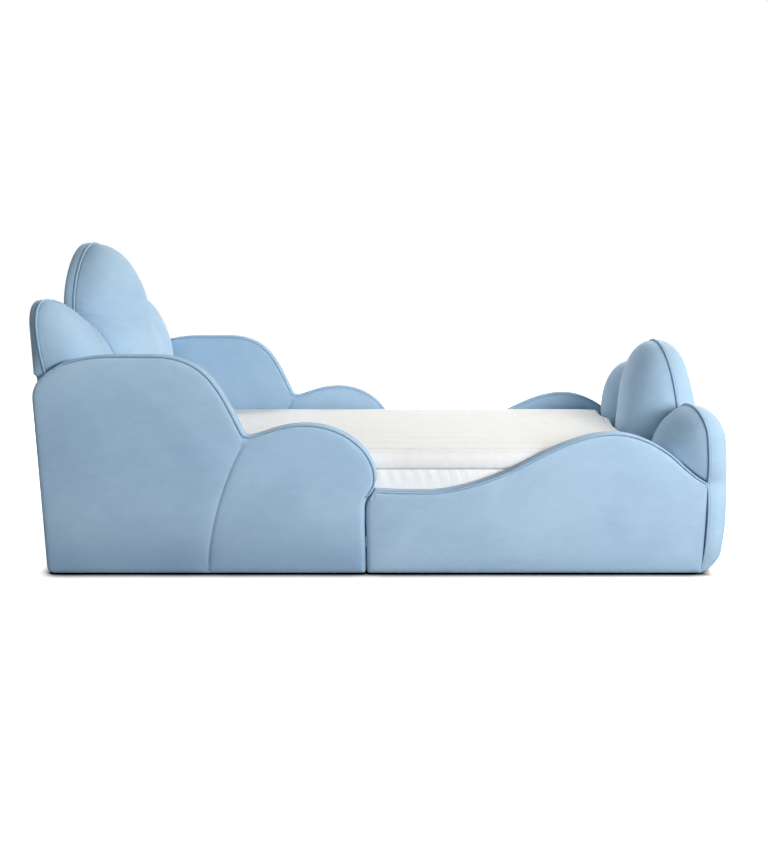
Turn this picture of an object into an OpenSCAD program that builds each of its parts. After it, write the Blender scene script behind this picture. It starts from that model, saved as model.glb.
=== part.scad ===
// Upholstered children's bed with a cloud outline.
// Head is -X, foot is +X, the left long side is -Y, the floor is z = 0.

/* [Overall size] */
// Between the outer faces of the two long sides
overall_w = 1120; // [1080:10:1240]
// From the back of the headboard to the fullest point of the footboard
overall_l = 2526; // [2516:10:2700]
// Height of the upholstery above the floor
floor_gap = 6; // [4:1:12]

/* [Headboard] */
// Height of the middle lobe at its seam
head_mid_h = 1229; // [1180:1:1300]
// Height of the side lobes at their seam
head_side_h = 1005; // [985:1:1030]
// Height of the dip between two lobes
head_dip_h = 945; // [930:1:960]
// Half the width of the middle lobe
head_mid_half_w = 248; // [230:1:265]
// How far the side lobes reach beyond the outer faces of the long sides
head_overhang = -2; // [-20:1:6]
// Depth of the boxed edge behind the seam
head_box_d = 44; // [38:1:56]
// How far the middle lobe swells forwards
head_mid_swell = 190; // [150:1:193]
// How far the side lobes swell forwards
head_side_swell = 165; // [140:1:180]
// How far the stitched line between two lobes stands forwards
head_seam_d = 150; // [110:1:155]
// Height over which that line comes out from the dip
head_seam_drop = 178; // [140:2:220]

/* [Footboard] */
// Height of the middle lobe at its seam
foot_mid_h = 830; // [790:1:860]
// Height of the left lobe at its seam
foot_side_h = 610; // [595:1:625]
// Height of the dip between the left and the middle lobe
foot_dip_h = 567; // [555:1:580]
// Height of the right lobe at its seam
foot_far_h = 708; // [690:1:725]
// Height of the dip between the middle and the right lobe
foot_far_dip_h = 655; // [640:1:670]
// Half the width of the middle lobe
foot_mid_half_w = 224; // [200:1:240]
// How far the side lobes reach beyond the long sides
foot_overhang = 4; // [0:1:10]
// Thickness of the outer padding at its fullest
foot_belly_d = 80; // [68:1:95]
// Height at which the footboard stands furthest out
foot_belly_z = 210; // [180:1:260]
// Radius of the inward sweep of the footboard
foot_sweep_r = 2750; // [2400:10:3400]
// How far the middle lobe swells towards the head
foot_mid_swell = 194; // [150:1:196]
// How far the left lobe swells towards the head
foot_side_swell = 165; // [130:1:175]
// How far the right lobe swells towards the head
foot_far_swell = 180; // [150:1:185]
// How far the stitched line between two lobes stands out
foot_seam_d = 135; // [90:1:145]
// Height over which that line comes out from the dip
foot_seam_drop = 255; // [180:5:290]

/* [Long sides] */
// Thickness of a padded side
side_t = 50; // [44:1:60]
// Height of the tall lobe by the head
tall_lobe_h = 813; // [790:1:840]
// Height of the notch between the tall and the low lobe
notch_h = 521; // [505:1:540]
// Height of the low lobe
low_lobe_h = 565; // [552:1:585]
// Place of the gap between the head and the foot module
split_x = -74; // [-90:1:-50]
// Width of that gap
split_gap = 4; // [3:1:8]
// Height of the low rail where one gets in
rail_h = 314; // [300:1:330]
// Height of the wave by the foot
wave_h = 533; // [505:1:560]
// Height at which the rail meets the footboard
rail_end_h = 348; // [335:1:365]
// Depth of the stitched line between the lobes of a side
stitch_d = 3; // [2:0.5:5]

/* [Covers and cord] */
// Diameter of the welt cord
cord_d = 8; // [6:0.5:9]
// Clearance round every board, bolt and cord
fit = 0.4; // [0.3:0.1:0.6]

/* [Boards] */
// Thickness of the plywood inside the sides
side_board_t = 18; // [12:1:20]
// Thickness of the plywood in the headboard
head_board_t = 22; // [15:1:22]
// Thickness of the plywood in the footboard
foot_board_t = 12; // [9:1:14]
// Padding between a board's edge and the outline
board_inset = 20; // [16:1:30]

/* [Mattress] */
// Room between the mattress and each long side
side_room = 10; // [4:1:20]
// Room between the mattress and the middle lobe of the headboard
head_room = 5; // [4:0.5:25]
// Room between the mattress and the middle lobe of the footboard, which leans in higher up
foot_room = 13; // [12:0.5:40]
// Height of the mattress core
core_h = 144; // [110:1:160]
// Height of the pillow top at its rolled edge
pillow_h = 72; // [60:1:90]
// Number of sewn channels on the pillow top
channels = 10; // [6:1:12]
// How far a channel puffs up between its seams
channel_puff = 6; // [3:0.5:10]

/* [Base] */
// Height of the top of the slats
slat_top_z = 242; // [225:1:250]
// Width of a slat
slat_w = 68; // [50:1:80]
// Thickness of a slat
slat_t = 18; // [12:1:22]
// Number of slats
slat_count = 14; // [10:1:18]
// Width of the webbing that ties the slats
webbing_w = 30; // [20:5:40]
// Height of the ledger rails
ledger_h = 42; // [35:1:55]
// Thickness of the ledger rails
ledger_t = 28; // [22:1:35]
// Thickness of the cross rails
cross_rail_t = 25; // [20:1:30]
// Width of the centre beam
beam_w = 60; // [45:1:80]
// Height of the centre beam
beam_h = 40; // [30:1:60]
// Diameter of the centre legs
leg_d = 45; // [35:1:55]
// Number of centre legs
leg_count = 3; // [2:1:4]
// Thickness of the steel angles and plates
steel_t = 3; // [2:0.5:4]
// Diameter of the bolts
bolt_d = 8; // [6:1:10]
// Diameter of the wood screws
screw_d = 5; // [4:0.5:6]
// Diameter of the floor glides
glide_d = 24; // [20:1:40]

/* [Hidden] */

velvet = [0.66, 0.77, 0.88];
velvet_cord = [0.58, 0.71, 0.83];
plywood = [0.80, 0.66, 0.45];
pine = [0.87, 0.75, 0.55];
steel = [0.70, 0.71, 0.73];
black = [0.12, 0.12, 0.13];
ticking = [0.95, 0.95, 0.94];

outer_y = overall_w / 2;
inner_y = outer_y - side_t;
cord_r = cord_d / 2;
// Distance that padding keeps from the middle of a cord
cord_seat = cord_r + fit;
head_back_x = -overall_l / 2;
head_seam_x = head_back_x + head_box_d;
head_front_x = head_seam_x - cord_seat;
foot_seam_x = overall_l / 2 - foot_belly_d;
under_slat_z = slat_top_z - slat_t;
pad_bottom_z = slat_top_z + 2;
// Lengths of the head and the foot module of a long side
head_l = split_x - head_back_x;
foot_l = foot_seam_x - split_x;
// The mattress fills the room between the padding: 1000 by 2000
mattress_w = 2 * (inner_y - side_room);
mattress_x0 = head_seam_x + head_mid_swell + head_room;
mattress_x1 = foot_seam_x - foot_mid_swell - foot_room;
mattress_l = mattress_x1 - mattress_x0;
mattress_x = (mattress_x0 + mattress_x1) / 2;

// Outlines: an anchor is [point, heading in, reach in, heading out, reach out],
// and a cubic curve runs from each anchor to the next

function along(heading) = [cos(heading), sin(heading)];
function smooth(u, v, heading, reach_in, reach_out) =
    [[u, v], heading, reach_in, heading, reach_out];
function crease(u, v, heading_in, reach_in, heading_out, reach_out) =
    [[u, v], heading_in, reach_in, heading_out, reach_out];
function corner(u, v) = crease(u, v, 0, 0, 0, 0);
function curve_point(a, b, t) =
    let (s = 1 - t, p = a[0] + a[4] * along(a[3]), q = b[0] - b[2] * along(b[1]))
    s * s * s * a[0] + 3 * s * s * t * p + 3 * s * t * t * q + t * t * t * b[0];
// Points of a path through the anchors, without the last one
function trace(anchors, steps) = [
    for (i = [0:len(anchors) - 2])
        for (k = [0:steps[i] - 1])
            curve_point(anchors[i], anchors[i + 1], k / steps[i])
];
function trace_all(anchors, steps) =
    concat(trace(anchors, steps), [anchors[len(anchors) - 1][0]]);
function steps_before(steps, anchor) =
    anchor == 0 ? 0 : steps[anchor - 1] + steps_before(steps, anchor - 1);
function unit(v) = v / norm(v);
// Vector into a counterclockwise outline that moves both sides of a vertex by 1
function inward(path, i) =
    let (
        n = len(path),
        ahead = unit(path[(i + 1) % n] - path[i]),
        m = unit(ahead + unit(path[i] - path[(i + n - 1) % n]))
    )
    [-m[1], m[0]] / (m * ahead);
function inset(path, by) = [for (i = [0:len(path) - 1]) path[i] + by * inward(path, i)];
function reversed(list) = [for (i = [len(list) - 1:-1:0]) list[i]];
function mirrored_path(path) = [for (p = reversed(path)) [-p[0], p[1]]];
// Depth of a swelling: 1 in the middle, 0 at the edge
function swell(rho, power) = pow(max(0, 1 - pow(max(0, rho), power)), 1 / power);

// Long sides in x and z, seen from outside the left one

tuck_z = rail_h - 64;
head_side_anchors = [
    corner(head_back_x, floor_gap),
    corner(split_x - split_gap / 2, floor_gap),
    smooth(split_x - split_gap / 2, tuck_z, 90, 0, 46),
    smooth(split_x + 40, low_lobe_h - 202, 90, 46, 112),
    smooth(split_x - 0.1783 * head_l, low_lobe_h, 180, 133, 102),
    smooth(split_x - 0.3499 * head_l, notch_h, 185, 41, 24),
    smooth(split_x - 0.3793 * head_l, notch_h + 38, 115, 26, 163),
    smooth(split_x - 0.6341 * head_l, tall_lobe_h, 180, 194, 0),
    smooth(head_back_x + 0.2498 * head_l, tall_lobe_h, 180, 0, 173),
    smooth(head_back_x, tall_lobe_h - 160, 270, 96, 0),
    corner(head_back_x, floor_gap)
];
head_side_steps = [1, 1, 4, 7, 6, 3, 8, 1, 6, 1];
head_side_path = trace(head_side_anchors, head_side_steps);
head_cord_run = [steps_before(head_side_steps, 2), steps_before(head_side_steps, 9) - 1];
head_side_middle = [split_x - 0.3583 * head_l, notch_h - 221];

// The footboard and its seam sweep inwards above and below the belly
function foot_seam(z) = foot_seam_x - pow(z - foot_belly_z, 2) / (2 * foot_sweep_r);
function foot_end(z) = foot_seam(z) - cord_seat;
function sweep_heading(z) = 90 + atan((z - foot_belly_z) / foot_sweep_r);
end_reach = (rail_end_h - floor_gap) / 3;
foot_side_anchors = [
    corner(split_x + split_gap / 2, floor_gap),
    crease(foot_end(floor_gap), floor_gap, 0, 0, sweep_heading(floor_gap), end_reach),
    crease(foot_end(rail_end_h), rail_end_h, sweep_heading(rail_end_h), end_reach, 160, 30),
    smooth(foot_end(rail_end_h) - 112, rail_end_h + 84, 137, 46, 76),
    smooth(foot_seam_x - 0.2824 * foot_l, wave_h, 180, 87, 112),
    smooth(split_x + 0.4646 * foot_l, (wave_h + rail_h) / 2 - 3, 209, 112, 112),
    smooth(split_x + 0.1806 * foot_l, rail_h, 180, 112, 112),
    crease(split_x + 34, rail_h + 6, 176, 60, 242, 30),
    smooth(split_x + split_gap / 2, tuck_z - 5, 270, 43, 0),
    corner(split_x + split_gap / 2, floor_gap)
];
foot_side_steps = [1, 4, 3, 5, 6, 6, 5, 3, 1];
foot_side_path = trace(foot_side_anchors, foot_side_steps);
foot_cord_run = [steps_before(foot_side_steps, 2), steps_before(foot_side_steps, 7)];
foot_side_middle = [split_x + 0.576 * foot_l, 150];

// Stitched line between the two lobes of a head module
stitch_path = trace_all([
    smooth(split_x - 0.3499 * head_l, notch_h, 235, 0, 140),
    smooth(split_x - 0.492 * head_l, floor_gap, 268, 180, 0)
], [8]);

// Headboard in y and z, from its right side over the top

head_edge_y = inner_y - 5;
head_arch_y = outer_y + head_overhang;
head_side_arch = [
    smooth(outer_y - 38, tall_lobe_h - 71, 68, 0, 62),
    smooth(head_arch_y, head_side_h - 97, 90, 62, 60),
    smooth(head_arch_y - 88, head_side_h, 180, 56, 82),
    crease(head_mid_half_w, head_dip_h, 215, 71, 88, 122)
];
head_side_arch_steps = [4, 4, 6];
head_mid_arch = [
    crease(head_mid_half_w, head_dip_h, 215, 71, 88, 122),
    smooth(0, head_mid_h, 180, 124, 124),
    crease(-head_mid_half_w, head_dip_h, 272, 122, 0, 0)
];
mid_arch_steps = [9, 9];
head_arch = concat(
    trace(head_side_arch, head_side_arch_steps),
    trace(head_mid_arch, mid_arch_steps),
    mirrored_path(trace_all(head_side_arch, head_side_arch_steps))
);
head_path = concat(
    [[-head_edge_y, floor_gap], [head_edge_y, floor_gap], [head_edge_y, tall_lobe_h - 79]],
    head_arch,
    [[-head_edge_y, tall_lobe_h - 79]]
);

// Footboard in y and z, from its right side over the top. The right lobe stands higher than the left

foot_arch_y = outer_y + foot_overhang;
foot_waist_y = outer_y - 18;
foot_low_arch = [
    crease(outer_y - 20, floor_gap, 0, 0, 75, 40),
    smooth(foot_arch_y, floor_gap + 124, 90, 40, 84),
    crease(foot_waist_y, rail_end_h - 3, 112, 70, 62, 60)
];
foot_low_steps = [3, 4];
foot_side_arch = [
    crease(foot_waist_y, rail_end_h - 3, 112, 70, 62, 60),
    smooth(foot_arch_y, foot_side_h - 100, 90, 60, 55),
    smooth(foot_arch_y - 166, foot_side_h, 180, 92, 80),
    crease(foot_mid_half_w, foot_dip_h, 205, 80, 98, 132)
];
foot_side_arch_steps = [4, 5, 5];
foot_far_arch = [
    crease(foot_waist_y, rail_end_h - 3, 112, 70, 62, 60),
    smooth(foot_arch_y, foot_far_h - 136, 90, 84, 72),
    smooth(foot_arch_y - 166, foot_far_h, 180, 92, 80),
    crease(foot_mid_half_w, foot_far_dip_h, 208, 80, 90, 74)
];
foot_mid_arch = [
    crease(foot_mid_half_w, foot_far_dip_h, 208, 80, 90, 74),
    smooth(0, foot_mid_h, 180, 138, 166),
    crease(-foot_mid_half_w, foot_dip_h, 262, 132, 0, 0)
];
function foot_half(side_arch) = concat(
    trace(foot_low_arch, foot_low_steps),
    trace(side_arch, foot_side_arch_steps)
);
foot_arch = concat(
    foot_half(foot_far_arch),
    trace(foot_mid_arch, mid_arch_steps),
    [[-foot_mid_half_w, foot_dip_h]],
    mirrored_path(foot_half(foot_side_arch))
);
foot_path = concat([[0, floor_gap]], foot_arch);

// Solid skinned over rings of points, which run counterclockwise
// as seen from outside the first one; first and last are the points that close it
module skin(rings, first, last) {
    n = len(rings[0]);
    count = len(rings) * n;
    faces = concat(
        [for (i = [0:n - 1]) [count, (i + 1) % n, i]],
        [for (j = [0:len(rings) - 2]) for (i = [0:n - 1]) each [
            [j * n + i, j * n + (i + 1) % n, (j + 1) * n + (i + 1) % n],
            [j * n + i, (j + 1) * n + (i + 1) % n, (j + 1) * n + i]
        ]],
        [for (i = [0:n - 1]) [count + 1, count - n + i, count - n + (i + 1) % n]]
    );
    polyhedron(points = concat([for (r = rings) each r], [first, last]), faces = faces);
}

cord_sides = 6;
// Round cord along a path of 3-D points; up leans away from the path
module cord(path, up) {
    n = len(path);
    rings = [for (i = [0:n - 1])
        let (
            ahead = unit(path[min(i + 1, n - 1)] - path[max(i - 1, 0)]),
            across = unit(cross(ahead, up)),
            over = cross(across, ahead)
        )
        [for (k = [0:cord_sides - 1])
            let (a = (k + 0.5) * 360 / cord_sides)
            path[i] + cord_r * (cos(a) * across + sin(a) * over)]
    ];
    skin(rings, path[0], path[n - 1]);
}

// Covers, boards and cords of the long sides
// A module is made with its outer face at y = 0 and its inner face at side_t

module on_side(side) {
    if (side < 0) translate([0, -outer_y, 0]) children();
    else translate([0, outer_y, 0]) mirror([0, 1, 0]) children();
}

cord_in = cord_r - 1.5;
cord_depth = cord_r + 0.5;
// Each pair is [inset from the outline, depth below the face]
corded_edge = [[36, 0], [cord_in + cord_seat + 1, 1.2], [cord_in + cord_seat + 0.6, cord_depth + 0.5],
               [cord_in + 1.5, cord_depth + cord_seat + 0.6], [0, side_t * 0.36]];
plain_edge = [[36, 0], [12, 1.2], [5, 4], [1.5, 9], [0, side_t * 0.36]];
function cover_ring(path, cord_run, k) = [
    for (i = [0:len(path) - 1])
        let (
            pair = i >= cord_run[0] && i <= cord_run[1] ? corded_edge[k] : plain_edge[k],
            p = path[i] + pair[0] * inward(path, i)
        )
        [p[0], pair[1], p[1]]
];
module side_cover(path, cord_run, middle) {
    outer = [for (k = [0:len(plain_edge) - 1]) cover_ring(path, cord_run, k)];
    inner = [for (ring = reversed(outer)) [for (p = ring) [p[0], side_t - p[1], p[2]]]];
    skin(concat(outer, inner), [middle[0], 0, middle[1]], [middle[0], side_t, middle[1]]);
}

module side_cords(path, run) {
    for (depth = [cord_depth, side_t - cord_depth])
        cord([for (i = [run[0]:run[1]])
            let (p = path[i] + cord_in * inward(path, i)) [p[0], depth, p[1]]], [0, 1, 0]);
}

// Extrudes an outline in x and z from y0 to y1
module across_y(y0, y1) {
    translate([0, y1, 0]) rotate([90, 0, 0]) linear_extrude(y1 - y0) children();
}
// Extrudes an outline in y and z from x0 to x1
module across_x(x0, x1) {
    translate([x0, 0, 0]) rotate([90, 0, 90]) linear_extrude(x1 - x0) children();
}
// Board outline: inset all round, but open to the floor at the bottom
function board_path(path, by, bottom_z) = [
    for (p = inset(path, by)) [p[0], p[1] < floor_gap + by + 1 ? bottom_z : p[1]]
];
board_y0 = (side_t - side_board_t) / 2;
board_y1 = board_y0 + side_board_t;
module side_board_blank(path) {
    across_y(board_y0, board_y1) polygon(board_path(path, board_inset, floor_gap));
}
module side_board_slot(path) {
    across_y(board_y0 - fit, board_y1 + fit)
        polygon(board_path(path, board_inset - fit, floor_gap - 5));
}

stitch_w = 3;
module stitch_groove() {
    strip = concat(
        [for (p = stitch_path) p - [stitch_w / 2, 0]],
        [for (p = reversed(stitch_path)) p + [stitch_w / 2, 0]]
    );
    across_y(-1, stitch_d) polygon(strip);
    across_y(side_t - stitch_d, side_t + 1) polygon(strip);
}

// Fixings: every hole takes its place and size from what goes through it

head_rail_x0 = head_front_x + 0.2;
head_rail_x1 = head_rail_x0 + cross_rail_t;
foot_rail_x1 = foot_seam(floor_gap) + cord_seat - 0.4;
foot_rail_x0 = foot_rail_x1 - cross_rail_t;
ledger_z = under_slat_z - ledger_h / 2;
ledger_x0 = head_rail_x1 + 4;
ledger_x1 = foot_rail_x0 - 4;
ledger_end_in = 150;
head_ledger_bolts = [ledger_x0 + ledger_end_in, (ledger_x0 + split_x) / 2, split_x - 110];
foot_ledger_bolts = [split_x + 110, (split_x + ledger_x1) / 2, ledger_x1 - ledger_end_in];

plate_l = 160;
plate_w = 40;
plate_z = 110;
plate_screw_dx = [25, 60];
angle_leg = 50;
angle_h = 90;
angle_z = 70;
angle_screw_d = 34;
angle_screw_z = [angle_z + 18, angle_z + 72];
head_screws = concat(
    [for (z = angle_screw_z) [head_rail_x1 + angle_screw_d, z]],
    [for (d = plate_screw_dx) [split_x - d, plate_z]]
);
foot_screws = concat(
    [for (d = plate_screw_dx) [split_x + d, plate_z]],
    [for (z = angle_screw_z) [foot_rail_x0 - angle_screw_d, z]]
);
hole_d = bolt_d + 2 * fit;
screw_hole_d = screw_d + 2 * fit;
round_fn = 32;

module rod_y(x, z, d, y0, y1) {
    translate([x, y1, z]) rotate([90, 0, 0]) cylinder(h = y1 - y0, d = d, $fn = round_fn);
}
module rod_x(y, z, d, x0, x1) {
    translate([x0, y, z]) rotate([0, 90, 0]) cylinder(h = x1 - x0, d = d, $fn = round_fn);
}
module side_drilling(bolts, screws) {
    for (x = bolts) rod_y(x, ledger_z, hole_d, board_y0 - fit, side_t + 1);
    for (p = screws) rod_y(p[0], p[1], screw_hole_d, board_y0 - fit, side_t + 1);
}

module head_module_cover(side) {
    color(velvet) on_side(side) difference() {
        side_cover(head_side_path, head_cord_run, head_side_middle);
        side_board_slot(head_side_path);
        stitch_groove();
        side_drilling(head_ledger_bolts, head_screws);
    }
}
module head_module_board(side) {
    color(plywood) on_side(side) difference() {
        side_board_blank(head_side_path);
        side_drilling(head_ledger_bolts, head_screws);
    }
}
module head_module_cords(side) {
    color(velvet_cord) on_side(side) side_cords(head_side_path, head_cord_run);
}
module foot_module_cover(side) {
    color(velvet) on_side(side) difference() {
        side_cover(foot_side_path, foot_cord_run, foot_side_middle);
        side_board_slot(foot_side_path);
        side_drilling(foot_ledger_bolts, foot_screws);
    }
}
module foot_module_board(side) {
    color(plywood) on_side(side) difference() {
        side_board_blank(foot_side_path);
        side_drilling(foot_ledger_bolts, foot_screws);
    }
}
module foot_module_cords(side) {
    color(velvet_cord) on_side(side) side_cords(foot_side_path, foot_cord_run);
}

// Stuffed lobes of the two ends
// An edge point is [y, z, how far it stands out, distance kept from the outline]
// A spine is [y, lowest z, highest z, roundness] of the fullest line of a lobe

edge_d = 1;
lobe_gap = 0.4;
lobe_rhos = [0.97, 0.89, 0.76, 0.56, 0.3];
seam_angles = [0, 24, 44, 61, 76];
// Heights along a stitched line, from the bottom up to just below the dip
function seam_heights(dip_h, drop) =
    concat([pad_bottom_z], [for (a = seam_angles) dip_h - drop + drop * sin(a)]);
// A seam rises from the dip to its full depth over the drop
function seam_edge(y, dip_h, drop, full) = [
    for (z = seam_heights(dip_h, drop))
        [y, z, full * swell((z - dip_h + drop) / drop, 1.35), lobe_gap]
];
function arch_edge(path) = [for (p = path) [p[0], p[1], edge_d, cord_seat]];
function other_side(edge) = [for (e = reversed(edge)) [-e[0], e[1], e[2], e[3]]];

function middle_edge(arch, half_w, right_dip_h, left_dip_h, drop, seam_d) = concat(
    [[0, pad_bottom_z, seam_d, 0]],
    seam_edge(half_w, right_dip_h, drop, seam_d),
    arch_edge(trace_all(arch, mid_arch_steps)),
    other_side(seam_edge(half_w, left_dip_h, drop, seam_d))
);
// The outer edge of a side lobe keeps its depth up to knee_z and thins out towards the arch
outer_steps = 5;
function side_edge(arch, steps, half_w, dip_h, drop, seam_d, outer_d, knee_z) =
    let (start_z = arch[0][0][1], span = start_z - pad_bottom_z - 12) concat(
        [for (k = [0:outer_steps])
            let (z = pad_bottom_z + span * k / outer_steps)
            [head_edge_y, z, edge_d + outer_d * swell((z - knee_z) / (start_z - knee_z), 2), lobe_gap]],
        arch_edge(trace(arch, steps)),
        [[half_w, dip_h, edge_d, cord_seat]],
        reversed(seam_edge(half_w, dip_h, drop, seam_d))
    );

function nearest_on(spine, p) = [spine[0], max(spine[1], min(spine[2], p[1]))];
// Rings of [y, z, depth] from the flat back forwards to the crown
function lobe_rings(edge, spine, full, back_d) =
    let (
        flat = [for (e = edge) [e[0], e[1]]],
        rim = [for (i = [0:len(edge) - 1]) flat[i] + edge[i][3] * inward(flat, i)]
    )
    concat(
        [[for (p = rim) [p[0], p[1], back_d]]],
        [[for (i = [0:len(edge) - 1]) [rim[i][0], rim[i][1], edge[i][2]]]],
        [for (rho = lobe_rhos) [for (i = [0:len(edge) - 1])
            let (s = nearest_on(spine, rim[i]), p = s + rho * (rim[i] - s))
            [p[0], p[1], edge[i][2] + (full - edge[i][2]) * swell(rho, spine[3])]]]
    );
module head_lobe(edge, spine, full) {
    rings = [for (ring = lobe_rings(edge, spine, full, -cord_r))
        [for (p = ring) [head_seam_x + p[2], p[0], p[1]]]];
    skin(reversed(rings), [head_seam_x + full, spine[0], (spine[1] + spine[2]) / 2],
         [head_seam_x - cord_r, spine[0], spine[2]]);
}
module foot_lobe(edge, spine, full) {
    z = (spine[1] + spine[2]) / 2;
    flat_rings = lobe_rings(edge, spine, full, -cord_r);
    back = [for (rho = [0.35, 0.7]) [for (p = flat_rings[0])
        let (s = [spine[0], z], q = s + rho * ([p[0], p[1]] - s)) [q[0], q[1], -cord_r]]];
    rings = [for (ring = concat(back, flat_rings))
        [for (p = ring) [foot_seam(p[1]) - p[2], p[0], p[1]]]];
    skin(rings, [foot_seam(z) + cord_r, spine[0], z], [foot_seam(z) - full, spine[0], z]);
}

head_knee_z = 400;
head_spine = [0, 330, head_mid_h - 352, 2.15];
head_side_spine = [(head_arch_y + head_mid_half_w) / 2, 330, head_side_h - 291, 1.55];
foot_spine = [0, 300, foot_mid_h - 450, 2];
foot_side_y = (foot_arch_y + foot_mid_half_w) / 2 + 4;
foot_side_spine = [foot_side_y, 300, foot_side_h - 196, 1.5];
foot_far_spine = [foot_side_y, 300, foot_far_h - 278, 2];

// Space of one long side with its cords, which the end lobes are drawn in round
module side_space(path) {
    across_y(-15, side_t + 1) polygon(inset(path, -cord_r));
}
module opposite(side) {
    if (side > 0) children();
    else mirror([0, 1, 0]) children();
}
module headboard_side_lobe(side) {
    color(velvet) opposite(side) difference() {
        head_lobe(side_edge(head_side_arch, head_side_arch_steps, head_mid_half_w, head_dip_h,
                            head_seam_drop, head_seam_d, 120, head_knee_z),
                  head_side_spine, head_side_swell);
        on_side(1) side_space(head_side_path);
    }
}
module headboard_middle_lobe() {
    color(velvet)
        head_lobe(middle_edge(head_mid_arch, head_mid_half_w, head_dip_h, head_dip_h,
                              head_seam_drop, head_seam_d),
                  head_spine, head_mid_swell);
}
module footboard_side_lobe(side) {
    arch = side > 0 ? foot_far_arch : foot_side_arch;
    dip_h = side > 0 ? foot_far_dip_h : foot_dip_h;
    color(velvet) opposite(side) difference() {
        foot_lobe(side_edge(arch, foot_side_arch_steps, foot_mid_half_w, dip_h,
                            foot_seam_drop, foot_seam_d, 110, pad_bottom_z),
                  side > 0 ? foot_far_spine : foot_side_spine,
                  side > 0 ? foot_far_swell : foot_side_swell);
        on_side(1) side_space(foot_side_path);
    }
}
module footboard_middle_lobe() {
    color(velvet)
        foot_lobe(middle_edge(foot_mid_arch, foot_mid_half_w, foot_far_dip_h, foot_dip_h,
                              foot_seam_drop, foot_seam_d),
                  foot_spine, foot_mid_swell);
}

// Headboard: boxed back cover with a board let into its front, and cord

cross_bolt_y = [inner_y - 110, inner_y - 360];
cross_bolt_z = 120;
module at_cross_bolts(x0, x1, d) {
    for (y = cross_bolt_y) for (side = [-1, 1]) rod_x(side * y, cross_bolt_z, d, x0, x1);
}
head_board_x = head_front_x - head_board_t;
module headboard_board() {
    color(plywood) difference() {
        across_x(head_board_x, head_front_x) polygon(board_path(head_path, board_inset, floor_gap));
        at_cross_bolts(head_board_x - 1, head_front_x + 1, hole_d);
    }
}
module headboard_back_cover() {
    color(velvet) difference() {
        across_x(head_back_x, head_front_x) polygon(head_path);
        across_x(head_board_x - fit, head_front_x + 1)
            polygon(board_path(head_path, board_inset - fit, floor_gap - 5));
    }
}
module headboard_welt_cord() {
    color(velvet_cord) cord([for (p = head_arch) [head_seam_x, p[0], p[1]]], [1, 0, 0]);
}

// Footboard: outer pad that bellies out round a leaning board, and cord

roll_w = 66;
bottom_roll = 75;
tuck_h = 180;
pad_rim_d = cord_seat + 4;
pad_middle = [0, floor_gap + 294];
function pad_depth(z, rho) =
    pad_rim_d + (foot_belly_d - pad_rim_d) * swell(rho, 2.2)
    * swell(1 - (z - floor_gap) / bottom_roll, 2);
// Low points of the pad move up, so that it tucks in at the floor; all others move inwards
function pad_inset(i, by) =
    let (
        p = foot_path[i],
        n = inward(foot_path, i),
        low = max(0, 1 - (p[1] - floor_gap) / tuck_h)
    )
    p + by * [i == 0 ? 0 : n[0], low > 0 ? 2 * low : n[1]];
function toward_middle(q, rho) = pad_middle + rho * (q - pad_middle);
module foot_pad_solid() {
    last = len(foot_path) - 1;
    crown = [for (rho = [0.35, 0.7]) [for (i = [0:last])
        let (q = toward_middle(pad_inset(i, roll_w), rho))
        [foot_seam(q[1]) + pad_depth(q[1], 0), q[0], q[1]]]];
    roll = [for (rho = [0, 0.35, 0.6, 0.8, 0.92, 0.985, 1]) [for (i = [0:last])
        let (q = pad_inset(i, (1 - rho) * roll_w))
        [foot_seam(q[1]) + pad_depth(q[1], i == 0 ? 0 : rho), q[0], q[1]]]];
    front = [for (rho = [1, 0.85, 0.6, 0.3]) [for (i = [0:last])
        let (q = toward_middle(foot_path[i], rho))
        [foot_seam(q[1]) + cord_seat + (rho < 1 ? 2 : 0), q[0], q[1]]]];
    skin(concat(crown, roll, front),
         [foot_seam(pad_middle[1]) + foot_belly_d, pad_middle[0], pad_middle[1]],
         [foot_seam(pad_middle[1]) + cord_seat + 2, pad_middle[0], pad_middle[1]]);
}
foot_board_lean = 3.8;
foot_board_x = foot_seam_x + 23.4;
foot_board_z = floor_gap + 84;
foot_board_in = 42;
module foot_board_blank(grow) {
    blank = inset(foot_path, foot_board_in - grow);
    low = foot_board_z - grow;
    translate([foot_board_x, 0, foot_board_z]) rotate([0, -foot_board_lean, 0])
        translate([-grow, 0, -foot_board_z])
            across_x(0, foot_board_t + 2 * grow)
                polygon([for (p = blank) [p[0], max(low, p[1])]]);
}
module footboard_board() {
    color(plywood) difference() {
        foot_board_blank(0);
        at_cross_bolts(foot_rail_x1, foot_board_x + foot_board_t, hole_d);
    }
}
module footboard_outer_pad() {
    color(velvet) difference() {
        foot_pad_solid();
        foot_board_blank(fit);
        at_cross_bolts(foot_rail_x1 - 5, foot_board_x, hole_d);
    }
}
module footboard_welt_cord() {
    color(velvet_cord) cord([for (p = foot_arch) [foot_seam(p[1]), p[0], p[1]]], [1, 0, 0]);
}

// Rails, beam and legs

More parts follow.
